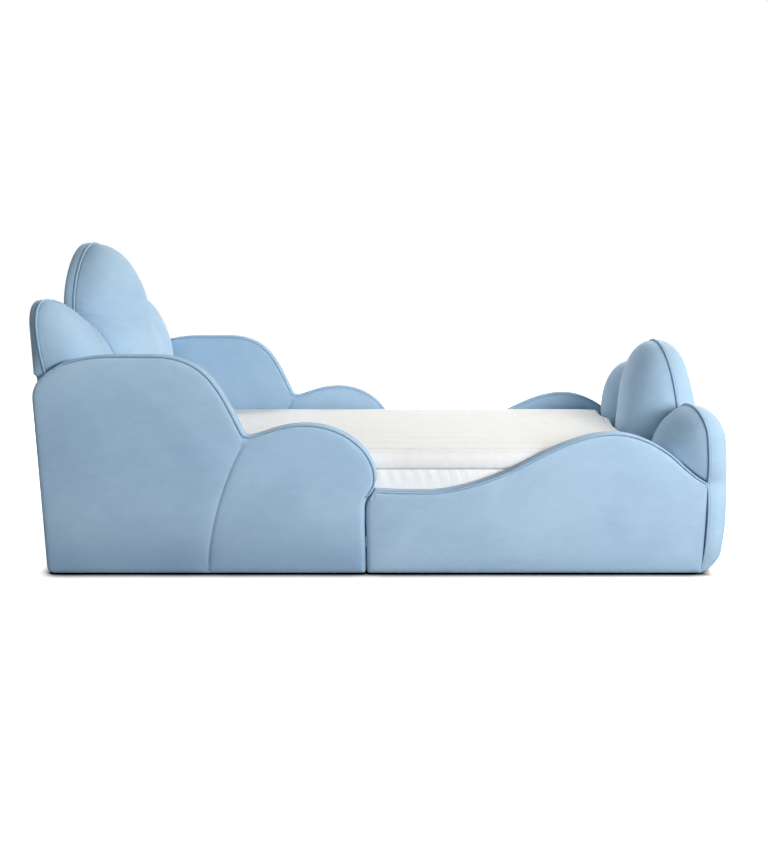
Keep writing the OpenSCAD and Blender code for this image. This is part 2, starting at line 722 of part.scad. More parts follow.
module ledger_rail(side) {
    color(pine) on_side(side) difference() {
        translate([ledger_x0, side_t, under_slat_z - ledger_h])
            cube([ledger_x1 - ledger_x0, ledger_t, ledger_h]);
        for (x = concat(head_ledger_bolts, foot_ledger_bolts))
            rod_y(x, ledger_z, hole_d, side_t - 1, side_t + ledger_t + 1);
        for (x = [slat_x0, slat_x1])
            translate([x, side_t + ledger_t / 2, under_slat_z - slat_screw_reach - 2])
                cylinder(h = slat_screw_reach + 3, d = screw_hole_d, $fn = round_fn);
    }
}
bolt_head_d = bolt_d * 1.8;
bolt_head_t = bolt_d * 0.55;
module ledger_bolts() {
    color(steel) for (side = [-1, 1]) on_side(side)
        for (x = concat(head_ledger_bolts, foot_ledger_bolts)) {
            rod_y(x, ledger_z, bolt_d, board_y0 + 2, side_t + ledger_t + 0.1);
            rod_y(x, ledger_z, bolt_head_d, side_t + ledger_t + 0.1, side_t + ledger_t + 0.1 + bolt_head_t);
        }
}

beam_x0 = head_rail_x1 + steel_t + 1;
beam_x1 = foot_rail_x0 - steel_t - 1;
beam_z0 = under_slat_z - beam_h;
hanger_l = 45;
hanger_ear = 20;
hanger_screw_y = beam_w / 2 + steel_t + hanger_ear / 2;
hanger_screw_z = beam_z0 + 12;
angle_face_y = inner_y - angle_screw_d;

module rail_drilling(x0, x1) {
    at_cross_bolts(x0 - 1, x1 + 1, hole_d);
    for (side = [-1, 1]) {
        for (z = angle_screw_z) rod_x(side * angle_face_y, z, screw_hole_d, x0 - 1, x1 + 1);
        rod_x(side * hanger_screw_y, hanger_screw_z, screw_hole_d, x0 - 1, x1 + 1);
    }
}
rail_end_y = inner_y - steel_t - 1;
module cross_rail(x0, x1) {
    color(pine) difference() {
        translate([x0, -rail_end_y, floor_gap])
            cube([x1 - x0, 2 * rail_end_y, under_slat_z - floor_gap]);
        rail_drilling(x0, x1);
    }
}
module cross_rail_bolts() {
    color(steel) {
        at_cross_bolts(head_board_x + 3, head_rail_x1 + 0.1, bolt_d);
        at_cross_bolts(head_rail_x1 + 0.1, head_rail_x1 + 0.1 + bolt_head_t, bolt_head_d);
        at_cross_bolts(foot_rail_x0 - 0.1, foot_board_x + 5, bolt_d);
        at_cross_bolts(foot_rail_x0 - 0.1 - bolt_head_t, foot_rail_x0 - 0.1, bolt_head_d);
    }
}

leg_pitch = (beam_x1 - beam_x0) / (leg_count + 1);
leg_x = [for (i = [1:leg_count]) beam_x0 + i * leg_pitch];
stud_up = 28;
module centre_beam() {
    color(pine) difference() {
        translate([beam_x0, -beam_w / 2, beam_z0]) cube([beam_x1 - beam_x0, beam_w, beam_h]);
        for (x = leg_x)
            translate([x, 0, beam_z0 - 1]) cylinder(h = stud_up + 3, d = hole_d, $fn = round_fn);
    }
}
module centre_legs() {
    color(pine) for (x = leg_x) translate([x, 0, floor_gap + 0.1]) {
        cylinder(h = beam_z0 - floor_gap - 0.3, d = leg_d, $fn = 48);
        cylinder(h = beam_z0 - floor_gap + stud_up, d = bolt_d, $fn = round_fn);
    }
}
// Hanger on the face of a cross rail: ears, seat and two cheeks, open at the top
cheek_h = beam_h - 6;
module hanger() {
    seat_z = beam_z0 - steel_t - 0.1;
    cheek_y = beam_w / 2 + 0.3;
    difference() {
        translate([0, -cheek_y - steel_t - hanger_ear, seat_z])
            cube([steel_t, 2 * (cheek_y + steel_t + hanger_ear), cheek_h + steel_t]);
        for (side = [-1, 1])
            rod_x(side * hanger_screw_y, hanger_screw_z, screw_hole_d, -1, steel_t + 1);
    }
    translate([0, -cheek_y - steel_t, seat_z]) cube([hanger_l, 2 * (cheek_y + steel_t), steel_t]);
    for (side = [-1, 1])
        translate([0, side * cheek_y - (side < 0 ? steel_t : 0), seat_z])
            cube([hanger_l, steel_t, cheek_h + steel_t]);
}
module beam_hangers() {
    color(steel) {
        translate([head_rail_x1 + 0.1, 0, 0]) hanger();
        translate([foot_rail_x0 - 0.1, 0, 0]) mirror([1, 0, 0]) hanger();
    }
}

// Steel angles, plates and their screws

module corner_angle() {
    difference() {
        union() {
            cube([angle_leg, steel_t, angle_h]);
            cube([steel_t, angle_leg, angle_h]);
        }
        for (z = angle_screw_z) {
            rod_y(angle_screw_d, z - angle_z, screw_hole_d, -1, steel_t + 1);
            rod_x(angle_screw_d, z - angle_z, screw_hole_d, -1, steel_t + 1);
        }
    }
}
// Puts something made at the left head corner into all four corners
module at_corners() {
    for (side = [-1, 1]) {
        translate([head_rail_x1 + 0.1, 0, 0]) opposite(-side) translate([0, -inner_y + 0.1, 0]) children();
        translate([foot_rail_x0 - 0.1, 0, 0]) mirror([1, 0, 0])
            opposite(-side) translate([0, -inner_y + 0.1, 0]) children();
    }
}
module corner_angles() {
    color(steel) at_corners() translate([0, 0, angle_z]) corner_angle();
}
module joining_plates() {
    color(steel) for (side = [-1, 1]) on_side(side) difference() {
        translate([split_x - plate_l / 2, side_t + 0.1, plate_z - plate_w / 2])
            cube([plate_l, steel_t, plate_w]);
        for (d = plate_screw_dx) for (x = [split_x - d, split_x + d])
            rod_y(x, plate_z, screw_hole_d, side_t - 1, side_t + steel_t + 2);
    }
}
screw_head_d = screw_d * 1.9;
screw_head_t = screw_d * 0.5;
side_screw_reach = side_t - board_y0 - 4;
rail_screw_reach = cross_rail_t - 4;
module screw_y(x, z, reach) {
    rod_y(x, z, screw_d, -reach, steel_t + 0.1);
    rod_y(x, z, screw_head_d, steel_t + 0.1, steel_t + 0.1 + screw_head_t);
}
module screw_x(y, z, reach) {
    rod_x(y, z, screw_d, -reach, steel_t + 0.1);
    rod_x(y, z, screw_head_d, steel_t + 0.1, steel_t + 0.1 + screw_head_t);
}
module bracket_screws() {
    color(steel) {
        at_corners() for (z = angle_screw_z) {
            screw_y(angle_screw_d, z, side_screw_reach);
            screw_x(angle_screw_d, z, rail_screw_reach);
        }
        for (side = [-1, 1]) on_side(side)
            for (d = plate_screw_dx) for (x = [split_x - d, split_x + d])
                translate([0, side_t + 0.1, 0]) screw_y(x, plate_z, side_screw_reach);
        for (side = [-1, 1]) {
            translate([head_rail_x1 + 0.1, 0, 0])
                screw_x(side * hanger_screw_y, hanger_screw_z, rail_screw_reach);
            translate([foot_rail_x0 - 0.1, 0, 0]) mirror([1, 0, 0])
                screw_x(side * hanger_screw_y, hanger_screw_z, rail_screw_reach);
        }
    }
}

// Glides under the side boards, the cross rails and the centre legs

board_mid_y = outer_y - (board_y0 + board_y1) / 2;
glide_end_in = 120;
module glide(x, y) {
    translate([x, y, 0]) cylinder(h = floor_gap, d1 = glide_d - 4, d2 = glide_d, $fn = round_fn);
}
module floor_glides() {
    color(black) {
        for (side = [-1, 1]) {
            for (x = [head_back_x + glide_end_in, split_x - glide_end_in,
                      split_x + glide_end_in, foot_rail_x0 - glide_end_in])
                glide(x, side * board_mid_y);
            glide((head_rail_x0 + head_rail_x1) / 2, side * (inner_y - glide_end_in));
            glide((foot_rail_x0 + foot_rail_x1) / 2, side * (inner_y - glide_end_in));
        }
        for (x = leg_x) glide(x, 0);
    }
}

// Slats, their webbing and the screws of the two end slats

slat_y = inner_y - 6;
slat_x0 = ledger_x0 + slat_w / 2 + 6;
slat_x1 = ledger_x1 - slat_w / 2 - 6;
slat_pitch = (slat_x1 - slat_x0) / (slat_count - 1);
slat_bevel = 2;
slat_screw_y = inner_y - ledger_t / 2;
webbing_y = inner_y * 0.55;
webbing_t = 1;
slat_screw_reach = 22;
module at_end_slats() {
    for (x = [slat_x0, slat_x1]) for (side = [-1, 1])
        translate([x, side * slat_screw_y, 0]) children();
}
module slats() {
    b = slat_bevel;
    w = slat_w / 2;
    color(pine) difference() {
        for (i = [0:slat_count - 1])
            translate([slat_x0 + i * slat_pitch, slat_y, under_slat_z]) rotate([90, 0, 0])
                linear_extrude(2 * slat_y)
                    polygon([[-w + b, 0], [w - b, 0], [w, b], [w, slat_t - b],
                             [w - b, slat_t], [-w + b, slat_t], [-w, slat_t - b], [-w, b]]);
        at_end_slats() {
            translate([0, 0, under_slat_z - 1]) cylinder(h = slat_t + 2, d = screw_hole_d, $fn = round_fn);
            translate([0, 0, slat_top_z - 4]) cylinder(h = 5, d = screw_head_d + 1, $fn = round_fn);
        }
    }
}
module slat_webbing() {
    color(black) for (side = [-1, 1])
        translate([slat_x0 - slat_w / 2, side * webbing_y - webbing_w / 2, under_slat_z - webbing_t])
            cube([slat_x1 - slat_x0 + slat_w, webbing_w, webbing_t]);
}
module slat_screws() {
    color(steel) at_end_slats() {
        translate([0, 0, under_slat_z - slat_screw_reach])
            cylinder(h = slat_t + slat_screw_reach - 3, d = screw_d, $fn = round_fn);
        translate([0, 0, slat_top_z - 3.9]) cylinder(h = 2.5, d = screw_head_d, $fn = round_fn);
    }
}

// Mattress: a core with a drawn-in border and a channelled pillow top

core_z = slat_top_z + 0.4;
pillow_z = core_z + core_h + 0.4;
plan_r = 45;
function rounded_plan(l, w, r) = [
    for (c = [[1, 1, 0], [-1, 1, 90], [-1, -1, 180], [1, -1, 270]]) for (k = [0:4])
        let (a = c[2] + 90 * k / 4)
        [mattress_x + c[0] * (l / 2 - r) + r * cos(a), c[1] * (w / 2 - r) + r * sin(a)]
];
module mattress_core() {
    rings = [for (e = [[12, core_h], [4, core_h - 2], [3, core_h - 14], [4, core_h / 2],
                       [1, 24], [0, 10], [3, 3], [12, 0]])
        [for (p = rounded_plan(mattress_l - 2 * e[0], mattress_w - 2 * e[0], plan_r - e[0]))
            [p[0], p[1], core_z + e[1]]]];
    color(ticking) skin(rings, [mattress_x, 0, core_z + core_h], [mattress_x, 0, core_z]);
}
seam_in = 9;
roll_in = 34;
crown_h = 8;
function channel_top(half_w) =
    let (steps = channels * 5)
    [for (k = [0:steps]) [half_w * (1 - 2 * k / steps),
        pillow_h + crown_h * (1 - pow(1 - 2 * k / steps, 2)) + channel_puff * abs(sin(180 * k / 5))]];
function roll_edge(half) = trace([
    corner(half - seam_in, 0),
    smooth(half, pillow_h * 0.42, 90, 16, 16),
    smooth(half - roll_in, pillow_h, 180, 22, 0)
], [4, 5]);
module mattress_pillow_top() {
    half_w = mattress_w / 2;
    half_l = mattress_l / 2;
    right = roll_edge(half_w);
    swell_in = 160;
    top = pillow_h + crown_h + channel_puff + 1;
    end = concat(roll_edge(half_l), trace_all([
        smooth(half_l - roll_in, pillow_h, 180, 0, 30),
        smooth(half_l - swell_in, top, 170, 60, 0)
    ], [5]));
    color(ticking) translate([0, 0, pillow_z]) intersection() {
        across_x(mattress_x - half_l, mattress_x + half_l)
            polygon(concat(right, channel_top(half_w - roll_in), mirrored_path(right)));
        translate([mattress_x, 0, 0]) across_y(-half_w, half_w)
            polygon(concat(end, mirrored_path(end)));
        linear_extrude(top + 1) polygon(rounded_plan(mattress_l, mattress_w, plan_r));
    }
}

headboard_board();
headboard_back_cover();
headboard_side_lobe(-1);  // headboard_lobe_left
headboard_middle_lobe();  // headboard_lobe_middle
headboard_side_lobe(1);  // headboard_lobe_right
headboard_welt_cord();
footboard_board();
footboard_outer_pad();
footboard_side_lobe(-1);  // footboard_lobe_left
footboard_middle_lobe();  // footboard_lobe_middle
footboard_side_lobe(1);  // footboard_lobe_right
footboard_welt_cord();
head_module_board(-1);  // left_head_board
head_module_cover(-1);  // left_head_cover
head_module_cords(-1);  // left_head_welt_cords
foot_module_board(-1);  // left_foot_board
foot_module_cover(-1);  // left_foot_cover
foot_module_cords(-1);  // left_foot_welt_cords
head_module_board(1);  // right_head_board
head_module_cover(1);  // right_head_cover
head_module_cords(1);  // right_head_welt_cords
foot_module_board(1);  // right_foot_board
foot_module_cover(1);  // right_foot_cover
foot_module_cords(1);  // right_foot_welt_cords
ledger_rail(-1);  // left_ledger_rail
ledger_rail(1);  // right_ledger_rail
ledger_bolts();
cross_rail(head_rail_x0, head_rail_x1);  // head_cross_rail
cross_rail(foot_rail_x0, foot_rail_x1);  // foot_cross_rail
cross_rail_bolts();
centre_beam();
beam_hangers();
centre_legs();
corner_angles();
joining_plates();
bracket_screws();
floor_glides();
slats();
slat_webbing();
slat_screws();
mattress_core();
mattress_pillow_top();
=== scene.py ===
"""Looks of the upholstered children's bed: velvet covers, stuffed lobes, welt cords and quilted mattress."""

import math

import bmesh
import bpy
import numpy as np
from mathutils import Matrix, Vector
from mathutils.geometry import delaunay_2d_cdt


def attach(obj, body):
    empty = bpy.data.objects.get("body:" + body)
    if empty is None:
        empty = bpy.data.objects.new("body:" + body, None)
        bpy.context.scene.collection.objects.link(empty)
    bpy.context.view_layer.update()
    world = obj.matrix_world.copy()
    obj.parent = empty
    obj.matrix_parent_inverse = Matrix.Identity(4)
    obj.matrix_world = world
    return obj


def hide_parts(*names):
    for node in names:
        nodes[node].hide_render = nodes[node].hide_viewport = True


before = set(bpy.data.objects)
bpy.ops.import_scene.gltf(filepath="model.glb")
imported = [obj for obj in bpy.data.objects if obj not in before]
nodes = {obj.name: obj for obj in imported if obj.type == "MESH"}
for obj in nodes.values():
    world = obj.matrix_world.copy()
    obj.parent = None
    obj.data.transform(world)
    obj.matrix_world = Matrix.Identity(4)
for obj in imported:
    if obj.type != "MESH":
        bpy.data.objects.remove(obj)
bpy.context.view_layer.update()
scene = bpy.context.scene

# Sizes in millimetres, the same as in the part's source

MM = 0.001
OUTER_Y = 560
INNER_Y = 510
SIDE_T = 50
FLOOR_GAP = 1.5
SPLIT_X = -74
SPLIT_GAP = 4
CORD_R = 4
CORD_SEAT = 4.4
CORD_IN = 2.5
CORD_DEPTH = 4.5
CORD_SPACE = CORD_R + 0.6
HEAD_BACK_X = -1263
HEAD_SEAM_X = -1219
FOOT_SEAM_X = 1183
FOOT_BELLY_D = 80
FOOT_BELLY_Z = 210
FOOT_SWEEP_R = 2750
PAD_BOTTOM_Z = 244
EDGE_Y = INNER_Y - 5
RAIL_H = 314
NOTCH_H = 521
LOW_LOBE_H = 565
TALL_LOBE_H = 813
WAVE_H = 533
RAIL_END_H = 348
MATTRESS_X = -24
MATTRESS_L = 2000
MATTRESS_W = 1000
MATTRESS_R = 45
CORE_Z = 242.4
CORE_H = 144
PILLOW_Z = CORE_Z + CORE_H + 0.4
CHANNELS = 10


# Rows of numbers

def unit(vectors):
    return vectors / np.linalg.norm(vectors, axis=1)[:, None]


def columns(*values):
    """Columns side by side, where a single number fills its column."""
    return np.column_stack(np.broadcast_arrays(*values))


# Outlines: an anchor is its point and the handles before and after it

def along(heading):
    angle = math.radians(heading)
    return np.array([math.cos(angle), math.sin(angle)])


def crease(u, v, heading_in, reach_in, heading_out, reach_out):
    point = np.array([u, v], float)
    return point, point - reach_in * along(heading_in), point + reach_out * along(heading_out)


def smooth(u, v, heading, reach_in, reach_out):
    return crease(u, v, heading, reach_in, heading, reach_out)


def corner(u, v):
    return crease(u, v, 0, 0, 0, 0)


def trace(anchors, spacing, last=False):
    """Evenly spaced points along the curves through the anchors."""
    found = []
    for (a, _, a_out), (b, b_in, _) in zip(anchors, anchors[1:]):
        t = np.linspace(0, 1, 97)[:, None]
        s = 1 - t
        fine = s**3 * a + 3 * s * s * t * a_out + 3 * s * t * t * b_in + t**3 * b
        reach = np.r_[0, np.cumsum(np.linalg.norm(np.diff(fine, axis=0), axis=1))]
        count = max(1, round(reach[-1] / spacing))
        at = np.linspace(0, reach[-1], count + 1)[:-1]
        found.append(np.c_[np.interp(at, reach, fine[:, 0]), np.interp(at, reach, fine[:, 1])])
    if last:
        found.append(anchors[-1][0][None])
    return np.vstack(found)


def mirrored(path):
    return path[::-1] * [-1, 1]


def soften(path, passes):
    """Closed outline with its corners rounded off."""
    for _ in range(passes):
        path = path / 2 + (np.roll(path, 1, 0) + np.roll(path, -1, 0)) / 4
    return path


def inward(path):
    """Vectors into a counterclockwise outline that move both sides of each point by 1."""
    ahead = unit(np.roll(path, -1, 0) - path)
    middle = unit(ahead + np.roll(ahead, 1, 0))
    return np.c_[-middle[:, 1], middle[:, 0]] / (middle * ahead).sum(1)[:, None]


def swell(rho, power):
    """Depth of a swelling: 1 in the middle, 0 at the edge."""
    return np.maximum(0, 1 - np.maximum(0, rho) ** power) ** (1 / power)


def fade(x, x0, x1):
    """0 at x0, 1 at x1, smooth between them."""
    t = np.clip((x - x0) / (x1 - x0), 0, 1)
    return t * t * (3 - 2 * t)


def bell(x, width):
    """1 where x is 0, falling off on both sides."""
    return np.exp(-((x / width) ** 2))


def foot_seam(z):
    return FOOT_SEAM_X - (z - FOOT_BELLY_Z) ** 2 / (2 * FOOT_SWEEP_R)


TUCK_Z = RAIL_H - 64
HEAD_SIDE = [
    corner(HEAD_BACK_X + 24, FLOOR_GAP),
    corner(SPLIT_X - SPLIT_GAP / 2, FLOOR_GAP),
    smooth(SPLIT_X - SPLIT_GAP / 2, TUCK_Z, 90, 0, 46),
    smooth(SPLIT_X + 40, LOW_LOBE_H - 202, 90, 46, 112),
    smooth(SPLIT_X - 212, LOW_LOBE_H, 180, 133, 102),
    smooth(SPLIT_X - 416, NOTCH_H, 185, 41, 24),
    smooth(SPLIT_X - 451, NOTCH_H + 38, 115, 26, 163),
    smooth(SPLIT_X - 754, TALL_LOBE_H, 180, 194, 0),
    smooth(HEAD_BACK_X + 297, TALL_LOBE_H, 180, 0, 173),
    smooth(HEAD_BACK_X, TALL_LOBE_H - 160, 270, 96, 0),
    smooth(HEAD_BACK_X, FLOOR_GAP + 24, 270, 0, 13),
    smooth(HEAD_BACK_X + 24, FLOOR_GAP, 0, 13, 0),
]
STITCH = [
    smooth(SPLIT_X - 416, NOTCH_H, 235, 0, 140),
    smooth(SPLIT_X - 585, FLOOR_GAP, 268, 180, 0),
]


def foot_end(z):
    return foot_seam(z) - CORD_SEAT


def sweep_heading(z):
    return 90 + math.degrees(math.atan((z - FOOT_BELLY_Z) / FOOT_SWEEP_R))


END_REACH = (RAIL_END_H - FLOOR_GAP) / 3
FOOT_SIDE = [
    corner(SPLIT_X + SPLIT_GAP / 2, FLOOR_GAP),
    crease(foot_end(FLOOR_GAP), FLOOR_GAP, 0, 0, sweep_heading(FLOOR_GAP), END_REACH),
    crease(foot_end(RAIL_END_H), RAIL_END_H, sweep_heading(RAIL_END_H), END_REACH, 160, 30),
    smooth(foot_end(RAIL_END_H) - 112, RAIL_END_H + 84, 137, 46, 76),
    smooth(FOOT_SEAM_X - 355, WAVE_H, 180, 87, 112),
    smooth(SPLIT_X + 584, (WAVE_H + RAIL_H) / 2 - 3, 209, 112, 112),
    smooth(SPLIT_X + 227, RAIL_H, 180, 112, 112),
    crease(SPLIT_X + 34, RAIL_H + 6, 176, 60, 242, 30),
    smooth(SPLIT_X + SPLIT_GAP / 2, TUCK_Z - 5, 270, 43, 0),
    corner(SPLIT_X + SPLIT_GAP / 2, FLOOR_GAP),
]

# Headboard in y and z, from its right side over the top

HEAD_MID_H = 1229
HEAD_SIDE_H = 1005
HEAD_DIP_H = 945
HEAD_MID_Y = 248
HEAD_ARCH_Y = OUTER_Y - 2
HEAD_DIP = crease(HEAD_MID_Y, HEAD_DIP_H, 215, 71, 88, 122)
HEAD_SIDE_ARCH = [
    smooth(OUTER_Y - 38, TALL_LOBE_H - 71, 68, 0, 62),
    smooth(HEAD_ARCH_Y, HEAD_SIDE_H - 97, 90, 62, 60),
    smooth(HEAD_ARCH_Y - 88, HEAD_SIDE_H, 180, 56, 82),
    HEAD_DIP,
]
HEAD_MID_ARCH = [
    HEAD_DIP,
    smooth(0, HEAD_MID_H, 180, 124, 124),
    crease(-HEAD_MID_Y, HEAD_DIP_H, 272, 122, 0, 0),
]

# Footboard in y and z, from its right side over the top. The right lobe stands higher than the left

FOOT_MID_H = 830
FOOT_SIDE_H = 610
FOOT_DIP_H = 567
FOOT_FAR_H = 708
FOOT_FAR_DIP_H = 655
FOOT_MID_Y = 224
FOOT_ARCH_Y = OUTER_Y + 4
FOOT_WAIST = crease(OUTER_Y - 18, RAIL_END_H - 3, 112, 70, 62, 60)
FOOT_FAR_DIP = crease(FOOT_MID_Y, FOOT_FAR_DIP_H, 208, 80, 90, 74)
FOOT_LOW_ARCH = [
    crease(OUTER_Y - 20, FLOOR_GAP, 0, 0, 75, 40),
    smooth(FOOT_ARCH_Y, FLOOR_GAP + 124, 90, 40, 84),
    FOOT_WAIST,
]
FOOT_SIDE_ARCH = [
    FOOT_WAIST,
    smooth(FOOT_ARCH_Y, FOOT_SIDE_H - 100, 90, 60, 55),
    smooth(FOOT_ARCH_Y - 166, FOOT_SIDE_H, 180, 92, 80),
    crease(FOOT_MID_Y, FOOT_DIP_H, 205, 80, 98, 132),
]
FOOT_FAR_ARCH = [
    FOOT_WAIST,
    smooth(FOOT_ARCH_Y, FOOT_FAR_H - 136, 90, 84, 72),
    smooth(FOOT_ARCH_Y - 166, FOOT_FAR_H, 180, 92, 80),
    FOOT_FAR_DIP,
]
FOOT_MID_ARCH = [
    FOOT_FAR_DIP,
    smooth(0, FOOT_MID_H, 180, 138, 166),
    crease(-FOOT_MID_Y, FOOT_DIP_H, 262, 132, 0, 0),
]


# Meshes

def nearest(points, path, closed=True):
    """Distance from each point to a path, and how far along the path its nearest place is."""
    starts = path if closed else path[:-1]
    ends = np.roll(path, -1, 0) if closed else path[1:]
    best = np.full(len(points), 1e9)
    place = np.zeros(len(points))
    walked = 0.0
    for a, b in zip(starts, ends):
        step = b - a
        size = math.hypot(*step)
        t = np.clip(((points - a) @ step) / (size * size), 0, 1)
        off = points - a - t[:, None] * step
        gap = np.hypot(off[:, 0], off[:, 1])
        closer = gap < best
        best[closer] = gap[closer]
        place[closer] = walked + t[closer] * size
        walked += size
    return best, place


def inside(points, path):
    within = np.zeros(len(points), bool)
    for a, b in zip(path, np.roll(path, -1, 0)):
        if a[1] == b[1]:
            continue
        spans = (a[1] > points[:, 1]) != (b[1] > points[:, 1])
        crossing = a[0] + (points[:, 1] - a[1]) * (b[0] - a[0]) / (b[1] - a[1])
        within ^= spans & (points[:, 0] < crossing)
    return within


def triangulated(points, n):
    """Triangles between points in a plane, of which the first n are the closed outline."""
    made = delaunay_2d_cdt([Vector(p) for p in points], [], [list(range(n))], 1, 1e-5)
    origin = [min(o) for o in made[3]]
    return [tuple(origin[i] for i in face) for face in made[2]]


def fill(ring, insets, spacing, lines=()):
    """Points and triangles that fill a closed outline. Its own points come first, then copies of
    it moved inwards, points near the given lines, and an even grid."""
    into = inward(ring)
    groups = []
    for inset in insets:
        copy = ring + inset * into
        groups.append(copy[(nearest(copy, ring)[0] > 0.97 * inset) & inside(copy, ring)])
    clear = insets[-1]
    for line in lines:
        kept = line[inside(line, ring)]
        groups.append(kept[nearest(kept, ring)[0] > clear + 2])
    low, high = ring.min(0), ring.max(0)
    rows = []
    for k, v in enumerate(np.arange(low[1], high[1], spacing * 0.87)):
        u = np.arange(low[0] + (k % 2) * spacing / 2, high[0], spacing)
        rows.append(columns(u, v))
    grid = np.vstack(rows)
    grid = grid[inside(grid, ring)]
    grid = grid[nearest(grid, ring)[0] > clear + spacing * 0.6]
    for line in lines:
        grid = grid[nearest(grid, line, closed=False)[0] > spacing * 0.6]
    points = np.vstack([ring, *groups, grid])
    return points, triangulated(points, len(ring))


def strip(a, b, n, closed=True):
    """Quads between two rings, given by their first points."""
    return [(a + i, a + (i + 1) % n, b + (i + 1) % n, b + i) for i in range(n if closed else n - 1)]


def solid_mesh(name, points, faces):
    """Mesh of millimetre points, with its faces turned outwards."""
    mesh = bpy.data.meshes.new(name)
    mesh.from_pydata((np.asarray(points) * MM).tolist(), [], faces)
    work = bmesh.new()
    work.from_mesh(mesh)
    bmesh.ops.recalc_face_normals(work, faces=work.faces)
    work.to_mesh(mesh)
    work.free()
    return mesh


def put(name, data):
    """New object in the scene."""
    made = bpy.data.objects.new(name, data)
    scene.collection.objects.link(made)
    return made


def make_piece(name, points, faces, material, body, seam=None, push=None):
    """Mesh object of millimetre points. seam is painted shade that darkens the colour, push moves points
    outwards.
    """
    mesh = solid_mesh(name, points, faces)
    if push is not None:
        place = np.zeros(len(points) * 3)
        normal = np.zeros(len(points) * 3)
        mesh.vertices.foreach_get("co", place)
        mesh.vertex_normals.foreach_get("vector", normal)
        moved = place.reshape(-1, 3) + normal.reshape(-1, 3) * np.asarray(push)[:, None] * MM
        mesh.vertices.foreach_set("co", moved.ravel())
    if seam is not None:
        layer = mesh.attributes.new("seam", "FLOAT", "POINT")
        layer.data.foreach_set("value", np.asarray(seam, np.float32))
    mesh.shade_smooth()
    mesh.materials.append(material)
    piece = put(name, mesh)
    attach(piece, body)
    return piece


def cord_tube(path, up, sides=12):
    """Points and faces of a closed cord along 3-D points; up leans away from them."""
    ahead = unit(np.gradient(path, axis=0))
    across = unit(np.cross(ahead, up))
    over = np.cross(across, ahead)
    n = len(path)
    rings = [path + CORD_R * (math.cos(a) * across + math.sin(a) * over)
             for a in np.arange(sides) * 2 * math.pi / sides]
    points = np.vstack(rings + [path[:1], path[-1:]])
    faces = []
    for k in range(sides):
        faces += strip(k * n, (k + 1) % sides * n, n, closed=False)
        faces.append((sides * n, k * n, (k + 1) % sides * n))
        faces.append((sides * n + 1, (k + 1) % sides * n + n - 1, k * n + n - 1))
    return points, faces


def ripple(s, pitch):
    """Uneven wave along a length s, for puckers."""
    wander = 2.6 * np.sin(s / (pitch * 5.3)) + 1.7 * np.sin(s / (pitch * 12.1) + 1)
    size = 0.6 + 0.4 * np.sin(s / (pitch * 6.7) + 2)
    return size * np.sin(2 * math.pi * s / pitch + wander)


# Materials

def node_maker(material):
    tree = material.node_tree
    tree.nodes.clear()

    def add(kind, inputs=None, **settings):
        made = tree.nodes.new("ShaderNode" + kind)
        for key, value in settings.items():
            setattr(made, key, value)
        for key, value in (inputs or {}).items():
            if isinstance(value, bpy.types.NodeSocket):
                tree.links.new(value, made.inputs[key])
            else:
                made.inputs[key].default_value = value
        return made
    return add


def new_material(name):
    """Empty material, the maker of its nodes, and its object coordinates."""
    material = bpy.data.materials.new(name)
    material.use_nodes = True
    add = node_maker(material)
    return material, add, add("TexCoord").outputs["Object"]


def ramp(add, source, stops):
    made = add("ValToRGB", {"Fac": source})
    made.color_ramp.elements[0].position = stops[0][0]
    made.color_ramp.elements[0].color = (*stops[0][1], 1)
    made.color_ramp.elements[1].position = stops[-1][0]
    made.color_ramp.elements[1].color = (*stops[-1][1], 1)
    for place, colour in stops[1:-1]:
        made.color_ramp.elements.new(place).color = (*colour, 1)
    return made.outputs["Color"]


def mixed(add, factor, a, b, blend="MIX"):
    made = add("Mix", data_type="RGBA", blend_type=blend)
    tree = made.id_data
    for key, value in (("Factor", factor), ("A", a), ("B", b)):
        socket = next(s for s in made.inputs if s.name == key and s.enabled)
        if isinstance(value, bpy.types.NodeSocket):
            tree.links.new(value, socket)
        else:
            socket.default_value = value
    return next(s for s in made.outputs if s.enabled)


def noise(add, place, scale, detail, roughness=0.5, distortion=0.0):
    return add("TexNoise", {"Vector": place, "Scale": scale, "Detail": detail, "Roughness": roughness,
                            "Distortion": distortion}).outputs["Fac"]


def math_step(add, operation, *values):
    return add("Math", dict(enumerate(values)), operation=operation).outputs[0]


def spread(add, value, **limits):
    """A value moved from one range to another, both 0 to 1 unless given."""
    inputs = {key.replace("_", " ").title(): limit for key, limit in limits.items()}
    return add("MapRange", {"Value": value, **inputs}).outputs["Result"]


def relief(add, strength, distance, height, **under):
    inputs = {"Strength": strength, "Distance": distance, "Height": height, **under}
    return add("Bump", inputs).outputs["Normal"]


def surface(add, inputs):
    shader = add("BsdfPrincipled", inputs).outputs["BSDF"]
    add("OutputMaterial", {"Surface": shader})


